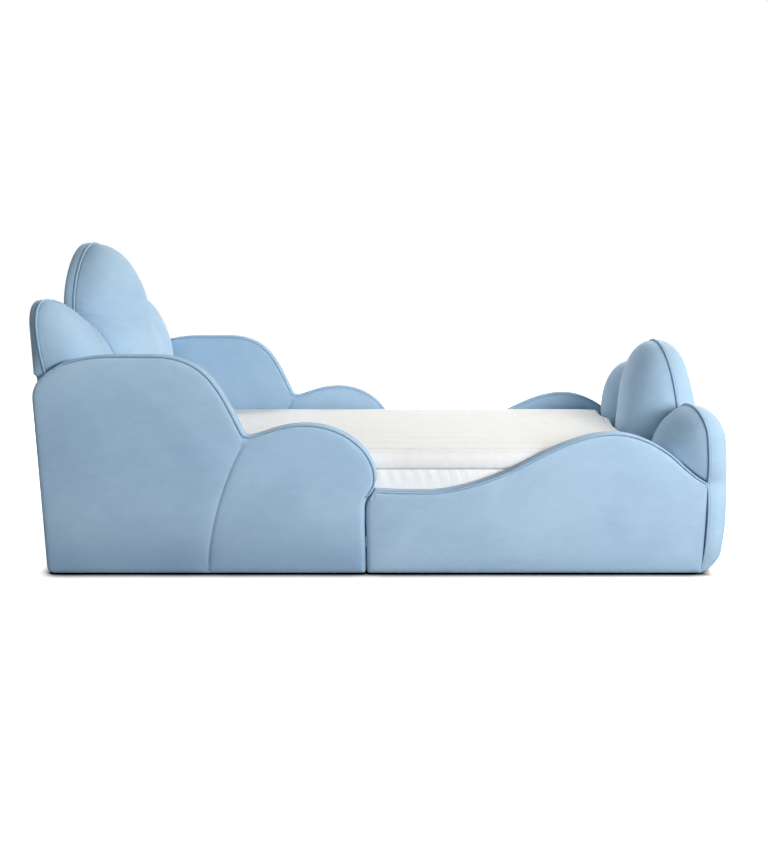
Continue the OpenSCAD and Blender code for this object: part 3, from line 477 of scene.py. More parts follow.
def velvet_material(name, light, dark, seed, painted_height_stops=()):
    """Short-pile velvet: brushed patches, soft streaks, fine pile, and painted shade in seams, creases and
    where parts touch.
    """
    material, add, place = new_material(name)
    moved = add("Mapping", {"Vector": place, "Location": (seed, seed * 0.7, seed * 0.3)}).outputs["Vector"]
    patches = noise(add, moved, 2.6, 3, 0.55, 0.6)
    streak_place = add("Mapping", {"Vector": moved, "Scale": (1, 1, 2.2)}).outputs["Vector"]
    streaks = noise(add, streak_place, 14, 4, 0.6, 0.8)
    pile = noise(add, moved, 420, 3, 0.7)
    both = math_step(add, "MULTIPLY", patches, 0.62)
    both = math_step(add, "MULTIPLY_ADD", streaks, 0.26, both)
    both = math_step(add, "MULTIPLY_ADD", pile, 0.12, both)
    colour = ramp(add, both, [(0.36, dark), (0.64, light)])
    # Painted shade near the floor and painted light high up, on the outer faces only
    if painted_height_stops:
        colour = painted_height_shade(add, place, colour, painted_height_stops)
    # Painted shade: the seam attribute mixes in a dark teal where shade falls in grooves, creases and
    # contacts
    seam = add("Attribute", attribute_name="seam").outputs["Fac"]
    colour = mixed(add, seam, colour, (*PAINTED_SHADE_TEAL, 1))
    fine = relief(add, 0.25, 0.0006, pile)
    surface(add, {
        "Base Color": colour, "Roughness": 0.88, "Normal": relief(add, 0.22, 0.004, streaks, Normal=fine),
        "Specular IOR Level": 0.15, "Sheen Weight": 0.45, "Sheen Roughness": 0.38,
        "Sheen Tint": (0.80, 0.90, 1.0, 1),
    })
    return material


def painted_height_shade(add, place, colour, stops):
    """Painted shade and painted light on an outer face: darker near the floor, paler high up, where the light
    falls on it.
    """
    place = add("SeparateXYZ", {"Vector": place})
    facing = add("SeparateXYZ", {"Vector": add("NewGeometry").outputs["Normal"]}).outputs["Y"]
    outward = math_step(add, "MULTIPLY", facing, place.outputs["Y"])
    outside = spread(add, outward, from_min=0.1, from_max=0.45)
    painted_tone = ramp(add, place.outputs["Z"], [(z, [v / PALEST_PAINTED_LIGHT for v in painted_tone]) for z, painted_tone in stops])
    full = add("VectorMath", {0: painted_tone, "Scale": PALEST_PAINTED_LIGHT}, operation="SCALE").outputs["Vector"]
    height_shaded = add("VectorMath", {0: colour, 1: full}, operation="MULTIPLY").outputs["Vector"]
    return mixed(add, outside, colour, height_shaded)


def ticking_material(name):
    """White knitted mattress cover with a fine honeycomb of small puffs, and grey painted shade along its
    creases and stitched lines.
    """
    material, add, place = new_material(name)
    knit = add("TexVoronoi", {"Vector": place, "Scale": 240}, feature="SMOOTH_F1").outputs["Distance"]
    cloth = noise(add, place, 34, 4, 0.6)
    colour = ramp(add, cloth, [(0.3, (0.88, 0.88, 0.875)), (0.7, (0.93, 0.93, 0.925))])
    # Painted shade: grey mixed in along creases and stitched lines
    seam = add("Attribute", attribute_name="seam").outputs["Fac"]
    colour = mixed(add, seam, colour, (0.42, 0.42, 0.42, 1))
    fine = relief(add, 0.2, 0.0008, knit)
    surface(add, {"Base Color": colour, "Roughness": 0.9, "Specular IOR Level": 0.2, "Sheen Weight": 0.1,
                  "Normal": relief(add, 0.25, 0.004, cloth, Normal=fine)})
    return material


def wood_material(name, light, dark, stretch, ring_scale):
    """Planed softwood: long grain, growth rings and fine pores."""
    material, add, place = new_material(name)
    long_place = add("Mapping", {"Vector": place, "Scale": stretch}).outputs["Vector"]
    grain = noise(add, long_place, 9, 6, 0.62, 1.2)
    rings = add("TexWave", {"Vector": long_place, "Scale": ring_scale, "Distortion": 6, "Detail": 3},
                wave_type="BANDS", bands_direction="DIAGONAL").outputs["Fac"]
    both = math_step(add, "MULTIPLY", rings, 0.35)
    both = math_step(add, "MULTIPLY_ADD", grain, 0.65, both)
    surface(add, {"Base Color": ramp(add, both, [(0.3, dark), (0.7, light)]),
                  "Roughness": spread(add, grain, to_min=0.55, to_max=0.75),
                  "Normal": relief(add, 0.2, 0.0008, grain), "Specular IOR Level": 0.35})
    return material


def steel_material(name):
    """Zinc-plated steel with fine brushing and dull patches."""
    material, add, place = new_material(name)
    brushed = add("Mapping", {"Vector": place, "Scale": (60, 60, 900)}).outputs["Vector"]
    lines = noise(add, brushed, 1, 3)
    spots = noise(add, place, 35, 3)
    surface(add, {"Base Color": ramp(add, spots, [(0.3, (0.50, 0.51, 0.53)), (0.7, (0.66, 0.67, 0.69))]),
                  "Metallic": 1.0, "Roughness": spread(add, lines, to_min=0.28, to_max=0.5),
                  "Normal": relief(add, 0.1, 0.0003, lines)})
    return material


def woven_material(name):
    """Black woven tape with crosswise ribs."""
    material, add, place = new_material(name)
    ribs = add("TexWave", {"Vector": place, "Scale": 120, "Distortion": 0.6},
               bands_direction="X").outputs["Fac"]
    fuzz = noise(add, place, 300, 2)
    surface(add, {"Base Color": ramp(add, fuzz, [(0.3, (0.018, 0.018, 0.02)), (0.7, (0.05, 0.05, 0.055))]),
                  "Roughness": 0.85, "Normal": relief(add, 0.5, 0.0006, ribs)})
    return material


def plastic_material(name):
    """Moulded plastic with a fine spark-eroded grain."""
    material, add, place = new_material(name)
    grain = noise(add, place, 700, 2)
    scuffs = noise(add, place, 60, 4)
    colour = ramp(add, scuffs, [(0.35, (0.022, 0.022, 0.024)), (0.75, (0.045, 0.045, 0.05))])
    surface(add, {"Base Color": colour, "Roughness": spread(add, scuffs, to_min=0.42, to_max=0.62),
                  "Normal": relief(add, 0.15, 0.0003, grain)})
    return material


# Colours, and the painted shade and painted light of the outer faces by their height in metres

BLUE_LIGHT = (0.43, 0.605, 0.775)
BLUE_DARK = (0.352, 0.518, 0.685)
# Colour of the painted shade in seams, creases and contacts
PAINTED_SHADE_TEAL = (0.075, 0.165, 0.225)
PALEST_PAINTED_LIGHT = 1.25
HEAD_SIDE_PAINTED_SHADE = [(0.0, (0.70, 0.76, 0.83)), (0.06, (0.79, 0.83, 0.88)), (0.14, (0.97, 0.97, 0.98)),
                   (0.24, (1.06, 1.06, 1.06)), (0.45, (1.06, 1.07, 1.09)), (0.62, (1.12, 1.12, 1.12)),
                   (0.78, (1.25, 1.23, 1.20))]
FOOT_SIDE_PAINTED_SHADE = [(0.0, (0.72, 0.78, 0.84)), (0.03, (0.88, 0.90, 0.93)), (0.08, (1.0, 0.99, 0.99)),
                   (0.3, (1.04, 1.02, 1.02)), (0.5, (1.07, 1.06, 1.05))]
# The side velvets carry the painted height shade: darker near the floor, paler high up
head_side_velvet = velvet_material("velvet_head_sides", BLUE_LIGHT, BLUE_DARK, 1.3, HEAD_SIDE_PAINTED_SHADE)
foot_side_velvet = velvet_material("velvet_foot_sides", BLUE_LIGHT, BLUE_DARK, 1.3, FOOT_SIDE_PAINTED_SHADE)
end_velvet = velvet_material("velvet_ends", BLUE_LIGHT, BLUE_DARK, 7.9)
cord_velvet = velvet_material("velvet_cord", (0.405, 0.575, 0.745), (0.325, 0.488, 0.66), 4.1)
ticking = ticking_material("mattress_ticking")
pine = wood_material("pine", (0.80, 0.64, 0.42), (0.60, 0.43, 0.24), (3, 30, 30), 3)
pine_across = wood_material("pine_across", (0.82, 0.67, 0.45), (0.62, 0.45, 0.26), (30, 3, 30), 3)
plywood = wood_material("plywood", (0.66, 0.51, 0.33), (0.48, 0.34, 0.20), (5, 12, 60), 8)
steel = steel_material("zinc_steel")
webbing = woven_material("black_webbing")
black_plastic = plastic_material("black_plastic")


# Long sides: each module is made as the left one, and mirrored for the right

# Edge profiles of a module, as inset from its outline and depth below its face: where it is corded,
# plain and pulled tight. The painted shade darkens each ring by how deep it lies in the seam

CORDED = [(8, 4.6), (7.3, 6.0), (6.5, 7.6), (5.0, 8.8), (3.4, 9.6), (1.8, 10.6), (0.7, 12.4),
          (-0.2, 15), (-0.9, 20), (-1.2, 25)]
PLAIN = [(8, 4.6), (6.2, 5.8), (4.6, 7.2), (3.2, 9.0), (2.2, 11.0), (1.4, 13.2), (0.8, 15.5),
         (0.4, 18), (0.1, 21.5), (0, 25)]
CORD_PAINTED_SHADE = [0.15, 0.75, 1, 1, 1, 0.9, 0.5, 0.1, 0, 0]
TIGHT = [(3.2, 2.0), (2.4, 2.6), (1.6, 3.4), (1.0, 4.4), (0.6, 5.6), (0.3, 7.2), (0.1, 9.5), (0, 12.5),
         (0, 18), (0, 25)]
PATH_STEP = 5


def run_weights(path, start, end):
    """1 on the stretch of a closed outline between two of its places, fading to 0 past its ends."""
    place = np.arange(len(path)) * 1.0
    first = np.argmin(np.linalg.norm(path - start, axis=1))
    final = np.argmin(np.linalg.norm(path - end, axis=1))
    return fade(place, first - 4, first + 1) * fade(-place, -final - 9, -final + 1)


def face_rise(points, path, tight, stitch, phase):
    """How far a padded face stands out: crowned, sunk along the stitched line, a little uneven; with painted
    shade along the stitched line.
    """
    from_edge, place = nearest(points, path)
    tight = np.interp(place, np.arange(len(path)) * place.max() / len(path), tight)
    rise = 3.6 * (1 - bell(from_edge, 110))
    rise -= (4.6 - 2.6 * tight) * np.exp(-np.maximum(0, from_edge - 8 + 4.8 * tight) / 7)
    rise += 0.22 * ripple(place, 21) * np.exp(-from_edge / 26)
    rise += 0.9 * np.sin(points[:, 0] / 97 + phase) * np.sin(points[:, 1] / 83 + 2 * phase)
    shade = np.zeros(len(points))
    if stitch is not None:
        off, run = nearest(points, stitch, closed=False)
        rise -= 3.6 * bell(off, 5.5) + 2.6 * bell(off, 30)
        rise += 0.3 * ripple(run, 17) * np.exp(-off / 14)
        # Painted shade in the sunk stitched line, fainter near its top
        shade = 0.62 * bell(off, 2.2) * (0.2 + 0.8 * fade(run, 0, 80))
    return rise, shade


def side_cover(name, path, weights, tight, stitch, side, phase, velvet):
    """Padded cover of one module: outer face, inner face, and the edge between them."""
    n = len(path)
    into = inward(path)
    sizes = [[weights * c + (1 - weights) * (tight * t + (1 - tight) * p) for c, p, t in zip(*profile)]
             for profile in zip(CORDED, PLAIN, TIGHT)]
    lines = []
    if stitch is not None:
        ahead = unit(np.gradient(stitch, axis=0))
        turn = np.c_[-ahead[:, 1], ahead[:, 0]]
        lines = [stitch + turn * off for off in (-13, -7, -2.5, 0, 2.5, 7, 13)]
    face, triangles = fill(path + sizes[0][0][:, None] * into, (3, 7, 12, 18, 26, 36), 11, lines)
    drawn_in = np.maximum(weights, 0.8 * tight)
    rise, shade = face_rise(face, path, tight, stitch, phase)
    other_rise, other_shade = face_rise(face, path, tight, stitch, phase + 2)
    points = [np.c_[face[:, 0], -rise, face[:, 1]], np.c_[face[:, 0], SIDE_T + other_rise, face[:, 1]]]
    shades = [shade, other_shade]
    count = len(face)
    faces = list(triangles) + [tuple(count + i for i in t[::-1]) for t in triangles]
    last = len(sizes) - 1
    rings = [(k, sizes[k][1]) for k in range(1, last + 1)]
    rings += [(k, SIDE_T - sizes[k][1]) for k in range(last - 1, 0, -1)]
    before, start = 0, 2 * count
    for k, depth in rings:
        ring = path + sizes[k][0][:, None] * into
        points.append(np.c_[ring[:, 0], depth, ring[:, 1]])
        # Painted shade in the seam along the cord
        shades.append(CORD_PAINTED_SHADE[k] * drawn_in)
        faces += strip(before, start, n)
        before, start = start, start + n
    faces += strip(before, count, n)
    points = np.vstack(points)
    points[:, 1] = side * (OUTER_Y - points[:, 1])
    return make_piece(name, points, faces, velvet, "bed", np.concatenate(shades))


def side_cord(path, weights, depth, side):
    """Welt cord of one edge. Its ends dive into the seam."""
    kept = weights > 0.02
    first = np.argmax(kept & ~np.roll(kept, 1))
    order = [(first + i) % len(path) for i in range(kept.sum())]
    inset = CORD_IN + 5 * (1 - weights)
    line = (path + inset[:, None] * inward(path))[order]
    run = columns(line[:, 0], side * (OUTER_Y - depth), line[:, 1])
    return cord_tube(run, np.array([0, side, 0.0]))


def piping_piece(name, tubes):
    """Welt cords joined into one piece."""
    points, faces = [], []
    count = 0
    for p, f in tubes:
        faces += [tuple(count + i for i in face) for face in f]
        points.append(p)
        count += len(p)
    return make_piece(name, np.vstack(points), faces, cord_velvet, "bed")


head_side_path = soften(trace(HEAD_SIDE, PATH_STEP), 4)
foot_side_path = soften(trace(FOOT_SIDE, PATH_STEP), 4)
head_weights = run_weights(head_side_path, (SPLIT_X + 12, RAIL_H - 4),
                           (HEAD_BACK_X + 122, TALL_LOBE_H - 24))
head_tight = np.zeros(len(head_side_path))
foot_weights = run_weights(foot_side_path, FOOT_SIDE[2][0], FOOT_SIDE[7][0])
foot_tight = run_weights(foot_side_path, FOOT_SIDE[1][0], FOOT_SIDE[2][0])
stitch_line = trace(STITCH, 6, last=True)
SIDE_PARTS = [
    ("head", head_side_path, head_weights, head_tight, stitch_line, 0, head_side_velvet),
    ("foot", foot_side_path, foot_weights, foot_tight, None, 2, foot_side_velvet),
]

for side, word in ((-1, "left"), (1, "right")):
    for part, path, weights, tight, stitch, phase, velvet in SIDE_PARTS:
        cover = side_cover(f"{word}_{part}_padding", path, weights, tight, stitch, side, side + phase, velvet)
        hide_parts(f"{word}_{part}_cover")
        cords = piping_piece(f"{word}_{part}_piping", [
            side_cord(path, weights, depth, side) for depth in (CORD_DEPTH, SIDE_T - CORD_DEPTH)
        ])
        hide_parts(f"{word}_{part}_welt_cords")


# Stuffed lobes of the two ends. An edge row is y, z, how far it stands out, inset and cord weight

LOBE_STEP = 2.2
LOBE_RINGS = 40
EDGE_D = 1
LOBE_GAP = 0.4
HEAD_SEAM_D = 150
HEAD_SEAM_DROP = 178
HEAD_KNEE_Z = 400
HEAD_MID_SWELL = 190
HEAD_SIDE_SWELL = 165
FOOT_SEAM_D = 135
FOOT_SEAM_DROP = 255
FOOT_MID_SWELL = 194
FOOT_SIDE_SWELL = 165
FOOT_FAR_SWELL = 180


def seam_rows(y, dip_h, drop, full):
    """Rows up the seam between two lobes, which drops back to the cord at the dip."""
    low = np.arange(PAD_BOTTOM_Z, dip_h - drop, 6)
    high = dip_h - drop + drop * np.sin(np.radians(np.linspace(0, 86, 30)))
    z = np.concatenate([low, high])
    depth = full * swell((z - dip_h + drop) / drop, 1.35)
    return columns(y, z, depth, LOBE_GAP, 0)


def arch_rows(path):
    return columns(*path.T, EDGE_D, CORD_SEAT - EDGE_D, 1)


def other_side(rows):
    return rows[::-1] * [-1, 1, 1, 1, 1]


def middle_rows(arch, y, right_dip_h, left_dip_h, drop, seam_d):
    """Rim of a middle lobe, from its lower edge up the right seam and over the arch."""
    bottom = columns(np.linspace(-y + 8, y - 8, 40), PAD_BOTTOM_Z, seam_d, 0, 0)
    return np.vstack([bottom, seam_rows(y, right_dip_h, drop, seam_d),
                      arch_rows(trace(arch, LOBE_STEP, last=True)),
                      other_side(seam_rows(y, left_dip_h, drop, seam_d))])


def side_rows(arch, y, dip_h, drop, seam_d, outer_d, knee_z):
    """Rim of a right lobe, from its lower edge up the outer side, over the arch and down the seam."""
    start_z = arch[0][0][1]
    z = np.arange(PAD_BOTTOM_Z, start_z - 12, 7)
    depth = EDGE_D + outer_d * swell((z - knee_z) / (start_z - knee_z), 2)
    outer = columns(EDGE_Y, z, depth, LOBE_GAP, 0)
    seam = seam_rows(y, dip_h, drop, seam_d)
    u = np.linspace(y + 8, EDGE_Y - 8, 24)
    depth = np.interp(u, [y, EDGE_Y], [seam_d, EDGE_D + outer_d])
    bottom = columns(u, PAD_BOTTOM_Z, depth, LOBE_GAP, 0)
    return np.vstack([bottom, outer, arch_rows(trace(arch, LOBE_STEP)), seam[::-1]])


def blur(rows, reach):
    """Closed rows smoothed along their length, over a reach counted in rows."""
    pitch = np.fft.rfftfreq(len(rows)).reshape(-1, *[1] * (rows.ndim - 1))
    kept = np.exp(-2 * (np.pi * pitch * reach) ** 2)
    return np.fft.irfft(np.fft.rfft(rows, axis=0) * kept, len(rows), axis=0)


def lobe_mesh(rows, spine, full, pucker):
    """Points of y, z and depth, faces, painted seam shade and push of a stuffed lobe. Its spine is the y,
    lowest z and highest z of its fullest line, and the roundness of its profile."""
    rim = rows.copy()
    rim[:, :2] += rows[:, 3:4] * inward(soften(rows[:, :2], 2))
    loop = np.vstack([rim, rim[:1]])
    run = np.r_[0, np.cumsum(np.linalg.norm(np.diff(loop[:, :3], axis=0), axis=1))]
    n = round(run[-1] / LOBE_STEP)
    walked = np.arange(n) * run[-1] / n
    rim = np.column_stack([np.interp(walked, run, loop[:, c]) for c in (0, 1, 2)])
    corded = blur(np.interp(walked, run, loop[:, 4]), 3)
    points = [columns(rim[:, 0], rim[:, 1], -CORD_R)]
    shades = [corded]
    pushes = [np.zeros(n)]
    faces = []
    wave = ripple(walked, 8.5) * corded
    slack = ripple(walked, 23) * (1 - corded)
    for k, phi in enumerate(np.radians(np.linspace(90, 3, LOBE_RINGS))):
        rho = math.sin(phi)
        edge = blur(rim, 38 * (1 - rho) ** 0.8) if rho < 1 else rim
        centre = columns(spine[0], np.clip(edge[:, 1], spine[1], spine[2]))
        rise = (full - edge[:, 2]) * swell(rho, spine[3])
        points.append(np.c_[centre + rho * (edge[:, :2] - centre), edge[:, 2] + rise])
        from_rim = np.hypot((1 - rho) * np.linalg.norm(edge[:, :2] - centre, axis=1), rise)
        # Painted shade along the rim by the cord, and in the valleys between the puckers
        crinkle = fade(from_rim, 0, 6) * bell(from_rim, 24)
        line = bell(from_rim, 3)
        shades.append((0.3 + 0.7 * corded) * line + 0.5 * pucker * crinkle * np.maximum(0, -wave))
        pushes.append(pucker * crinkle * (1.7 * wave + 0.5 * slack))
        faces += strip(k * n, (k + 1) * n, n)
    crown = (LOBE_RINGS + 1) * n
    points.append([[spine[0], (spine[1] + spine[2]) / 2, full]])
    faces += [(crown, crown - n + (i + 1) % n, crown - n + i) for i in range(n)]
    points.append([[spine[0], spine[2], -CORD_R]])
    faces += [(crown + 1, i, (i + 1) % n) for i in range(n)]
    shades.append([0, 0])
    pushes.append([0, 0])
    return np.vstack(points), faces, np.concatenate(shades), np.concatenate(pushes)


def end_lobe(name, rows, spine, full, head, pucker=0.6, mirror=False):
    """Lobe that stands out from the seam of the headboard, or else of the footboard."""
    points, faces, shade, push = lobe_mesh(rows, spine, full, pucker)
    y, z, depth = points.T
    x = HEAD_SEAM_X + depth if head else foot_seam(z) - depth
    place = np.c_[x, y * (-1 if mirror else 1), z]
    return make_piece(name, place, faces, end_velvet, "bed", shade, push)


def cut_round_side(piece, path, side):
    """Takes the space of a padded side and its cords out of a lobe, and paints shade where they touch."""
    ring = (path - CORD_SPACE * inward(path))[::2]
    n = len(ring)
    y = [side * (OUTER_Y + 20), side * (INNER_Y - 1.5)]
    points = np.vstack([columns(ring[:, 0], v, ring[:, 1]) for v in y])
    faces = strip(0, n, n) + [tuple(range(n)), tuple(range(2 * n - 1, n - 1, -1))]
    cutter = put("cutter", solid_mesh("cutter", points, faces))
    cut = piece.modifiers.new("cut", "BOOLEAN")
    cut.operation = "DIFFERENCE"
    cut.solver = "EXACT"
    cut.object = cutter
    bpy.context.view_layer.objects.active = piece
    bpy.ops.object.modifier_apply(modifier="cut")
    bpy.data.objects.remove(cutter)
    place = np.zeros(len(piece.data.vertices) * 3)
    piece.data.vertices.foreach_get("co", place)
    place = place.reshape(-1, 3) / MM
    shade = np.zeros(len(place))
    layer = piece.data.attributes["seam"]
    layer.data.foreach_get("value", shade)
    gap = nearest(place[:, [0, 2]], path)[0] - CORD_SPACE
    # Painted contact shade where the lobe meets the side
    painted_shade = bell(gap, 6) * fade(side * place[:, 1], INNER_Y - 3, INNER_Y + 14)
    layer.data.foreach_set("value", np.maximum(shade, painted_shade).astype(np.float32))


HEAD_SPINE = (0, 330, HEAD_MID_H - 352, 2.15)
HEAD_SIDE_SPINE = ((HEAD_ARCH_Y + HEAD_MID_Y) / 2, 330, HEAD_SIDE_H - 291, 1.55)
FOOT_SPINE = (0, 300, FOOT_MID_H - 450, 2)
FOOT_SIDE_SPINE = ((FOOT_ARCH_Y + FOOT_MID_Y) / 2 + 4, 300, FOOT_SIDE_H - 196, 1.5)
FOOT_FAR_SPINE = (FOOT_SIDE_SPINE[0], 300, FOOT_FAR_H - 278, 2)

rows = middle_rows(HEAD_MID_ARCH, HEAD_MID_Y, HEAD_DIP_H, HEAD_DIP_H, HEAD_SEAM_DROP, HEAD_SEAM_D)
head_middle = end_lobe("headboard_cushion_middle", rows, HEAD_SPINE, HEAD_MID_SWELL, True, 0.9)
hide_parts("headboard_lobe_middle")
rows = middle_rows(FOOT_MID_ARCH, FOOT_MID_Y, FOOT_FAR_DIP_H, FOOT_DIP_H, FOOT_SEAM_DROP, FOOT_SEAM_D)
foot_middle = end_lobe("footboard_cushion_middle", rows, FOOT_SPINE, FOOT_MID_SWELL, False)
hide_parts("footboard_lobe_middle")

SIDE_LOBES = [
    (-1, "left", FOOT_SIDE_ARCH, FOOT_DIP_H, FOOT_SIDE_SPINE, FOOT_SIDE_SWELL),
    (1, "right", FOOT_FAR_ARCH, FOOT_FAR_DIP_H, FOOT_FAR_SPINE, FOOT_FAR_SWELL),
]
for side, word, arch, dip_h, spine, full in SIDE_LOBES:
    rows = side_rows(HEAD_SIDE_ARCH, HEAD_MID_Y, HEAD_DIP_H, HEAD_SEAM_DROP, HEAD_SEAM_D, 120, HEAD_KNEE_Z)
    lobe = end_lobe(f"headboard_cushion_{word}", rows, HEAD_SIDE_SPINE, HEAD_SIDE_SWELL, True,
                    mirror=side < 0)
    cut_round_side(lobe, head_side_path, side)
    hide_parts(f"headboard_lobe_{word}")
    rows = side_rows(arch, FOOT_MID_Y, dip_h, FOOT_SEAM_DROP, FOOT_SEAM_D, 110, PAD_BOTTOM_Z)
    lobe = end_lobe(f"footboard_cushion_{word}", rows, spine, full, False, mirror=side < 0)
    cut_round_side(lobe, foot_side_path, side)
    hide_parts(f"footboard_lobe_{word}")


# Boxed back of the headboard and its welt cord. The boxing is inset and place along x from the seam

ARCH_STEP = 4
BACK_Y = 526
head_shoulder = trace(HEAD_SIDE_ARCH, ARCH_STEP, last=True)
head_arch = np.vstack([head_shoulder[:-1], trace(HEAD_MID_ARCH, ARCH_STEP), mirrored(head_shoulder)])
HEAD_BACK = [
    corner(-EDGE_Y, FLOOR_GAP), corner(EDGE_Y, FLOOR_GAP), corner(EDGE_Y, TALL_LOBE_H - 79),
    corner(OUTER_Y - 38, TALL_LOBE_H - 71),
]
HEAD_BACK_LEFT = [corner(-EDGE_Y, TALL_LOBE_H - 79), corner(-EDGE_Y, FLOOR_GAP)]
head_path = soften(np.vstack([trace(HEAD_BACK, PATH_STEP), head_arch, trace(HEAD_BACK_LEFT, PATH_STEP)]), 5)
BOXING = [(19.2, -4.6), (8, -4.4), (3, -4.6), (1.2, -5.6), (0, -8.5), (-1.1, -14), (-1.8, -22),
          (-1.4, -30), (0.2, -36), (2.6, -40), (5.2, -42.2), (8, -43.2)]
# Painted shade of each boxing ring, in the groove by the cord
BOXING_PAINTED_SHADE = [1, 1, 0.9, 0.55, 0.12, 0, 0, 0, 0, 0, 0, 0]


def headboard_back():
    """Boxing strip round the outline, drawn in towards the back, and the back panel."""
    n = len(head_path)
    into = inward(head_path)
    y, z = head_path.T
    drawn = np.sign(y) * np.where(z > HEAD_SIDE_H - 97, np.abs(y) * BACK_Y / HEAD_ARCH_Y, BACK_Y) - y
    drawn *= fade(np.abs(y), 440, 500) * fade(z, TALL_LOBE_H - 77, TALL_LOBE_H - 72)
    points, shades, faces = [], [], []
    for k, (inset, x) in enumerate(BOXING[:-1]):
        ring = head_path + inset * into
        ring[:, 0] += drawn * (x + 4.4) / (BOXING[-1][1] + 4.4)
        points.append(columns(HEAD_SEAM_X + x, *ring.T))
        shades.append(np.full(n, BOXING_PAINTED_SHADE[k]))
        faces += strip(k * n, (k + 1) * n, n)
    inset, x = BOXING[-1]
    panel, triangles = fill(head_path + inset * into + columns(drawn, 0), (4, 10, 18, 30), 24)
    from_edge, place = nearest(panel, head_path)
    bulge = 0.8 * (1 - np.exp(-from_edge / 60)) + 0.3 * ripple(place, 31) * np.exp(-from_edge / 30)
    points.append(np.c_[HEAD_SEAM_X + x - bulge, panel])
    shades.append(np.zeros(len(panel)))
    start = (len(BOXING) - 1) * n
    faces += [tuple(start + i for i in t) for t in triangles]
    return make_piece("headboard_boxing", np.vstack(points), faces, end_velvet, "bed",
                      np.concatenate(shades))


back = headboard_back()
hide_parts("headboard_back_cover")
run = columns(HEAD_SEAM_X, *head_arch.T)
piping = piping_piece("headboard_piping", [cord_tube(run, np.array([1.0, 0, 0]))])
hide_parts("headboard_welt_cord")


# Outer pad of the footboard and its welt cord

foot_low_arch = trace(FOOT_LOW_ARCH, ARCH_STEP)
foot_arch = np.vstack([
    foot_low_arch, trace(FOOT_FAR_ARCH, ARCH_STEP), trace(FOOT_MID_ARCH, ARCH_STEP),
    [[-FOOT_MID_Y, FOOT_DIP_H]], mirrored(np.vstack([foot_low_arch, trace(FOOT_SIDE_ARCH, ARCH_STEP)])),
])
foot_bottom = trace([corner(-OUTER_Y + 20, FLOOR_GAP), corner(OUTER_Y - 20, FLOOR_GAP)], 8)[1:]
foot_path = soften(np.vstack([foot_bottom, foot_arch]), 2)
at_waist = bell(foot_path[:, 1:] - RAIL_END_H, 26) * (np.abs(foot_path[:, :1]) > FOOT_MID_Y + 9)
foot_path = foot_path * (1 - at_waist) + soften(foot_path, 16) * at_waist
ROLL_W = 66
BOTTOM_ROLL = 75


def footboard_pad():
    """Pad that bellies outwards, rolled at its edges, with a flat front behind the lobes that carries painted
    shade.
    """
    flat, triangles = fill(foot_path, (0.5, 1.5, 3.5, 6, 9, 13, 18, 24, 31, 39, 48, 58, 70), 16)
    from_arch, place = nearest(flat, foot_path[len(foot_bottom):], closed=False)
    from_cord = nearest(flat, foot_arch, closed=False)[0]
    filled_out = soften(foot_path, 900)
    broad = nearest(flat, filled_out)[0] * np.where(inside(flat, filled_out), 1, -1) + 12
    deep = from_arch + fade(from_arch, 4, 40) * np.maximum(0, broad - from_arch)
    rim = CORD_SEAT + 4
    bottom = swell(1 - (flat[:, 1] - FLOOR_GAP) / BOTTOM_ROLL, 2)
    back_x = foot_seam(flat[:, 1]) + rim + (FOOT_BELLY_D - rim) * swell(1 - deep / ROLL_W, 2.2) * bottom
    low = fade(-flat[:, 1], -346, -334) * fade(np.abs(flat[:, 0]), 512, 518) * fade(from_cord, 4.2, 5.9)
    front_x = foot_seam(flat[:, 1]) + CORD_SEAT - 1 + 3 * fade(from_cord, 4, 14) * (1 - low) - 7.3 * low
    count = len(flat)
    points = np.vstack([np.c_[back_x, flat], np.c_[front_x, flat]])
    faces = list(triangles) + [tuple(count + i for i in t[::-1]) for t in triangles]
    faces += strip(0, count, len(foot_path))
    # Painted shade on the front behind the lobes, weaker on the rim by the cord and in the low slot behind it
    shade = np.concatenate([np.zeros(count), np.where(from_arch < 0.3, 0.3, 1.0) * (1 - 0.8 * low)])
    puckers = 0.6 * ripple(place, 12) * fade(from_arch, 1, 8) * np.exp(-from_arch / 24)
    push = np.concatenate([puckers, np.zeros(count)])
    return make_piece("footboard_padding", points, faces, end_velvet, "bed", shade, push)


pad = footboard_pad()
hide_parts("footboard_outer_pad")
run = np.c_[foot_seam(foot_arch[:, 1]), foot_arch]
piping = piping_piece("footboard_piping", [cord_tube(run, np.array([1.0, 0, 0]))])
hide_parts("footboard_welt_cord")


# Mattress: core with a gathered border, and a channelled pillow top

PLAN_STEP = 7
# Border of the core and roll of the pillow top, as inset from the outline and height
BORDER = [(12, 0), (6, 1), (2.6, 3), (0.8, 7), (0, 14), (0.2, 24), (0.9, 36), (1.4, 50), (1.6, 64), (1.6, 78),
          (1.4, 92), (1.2, 104), (1.2, 114), (1.6, 122), (2.4, 129), (3.6, 134.5), (5.4, 138.5), (8, 141.5),
          (11, 143.4), (14, CORE_H)]
ROLL = [(10, 0.2), (7.5, 1.2), (5, 4), (2.8, 9), (1.0, 17), (0.2, 25), (0, 32), (0.5, 39), (2.2, 47),
        (5.5, 55), (10.5, 61.5), (17, 66.5), (24, 69.6), (30, 70.6), (34.5, 70.2)]
ROLL_IN, ROLL_H = ROLL[-1]
ROLL_EDGE = 36
CHANNEL_W = (MATTRESS_W - 2 * ROLL_EDGE) / CHANNELS


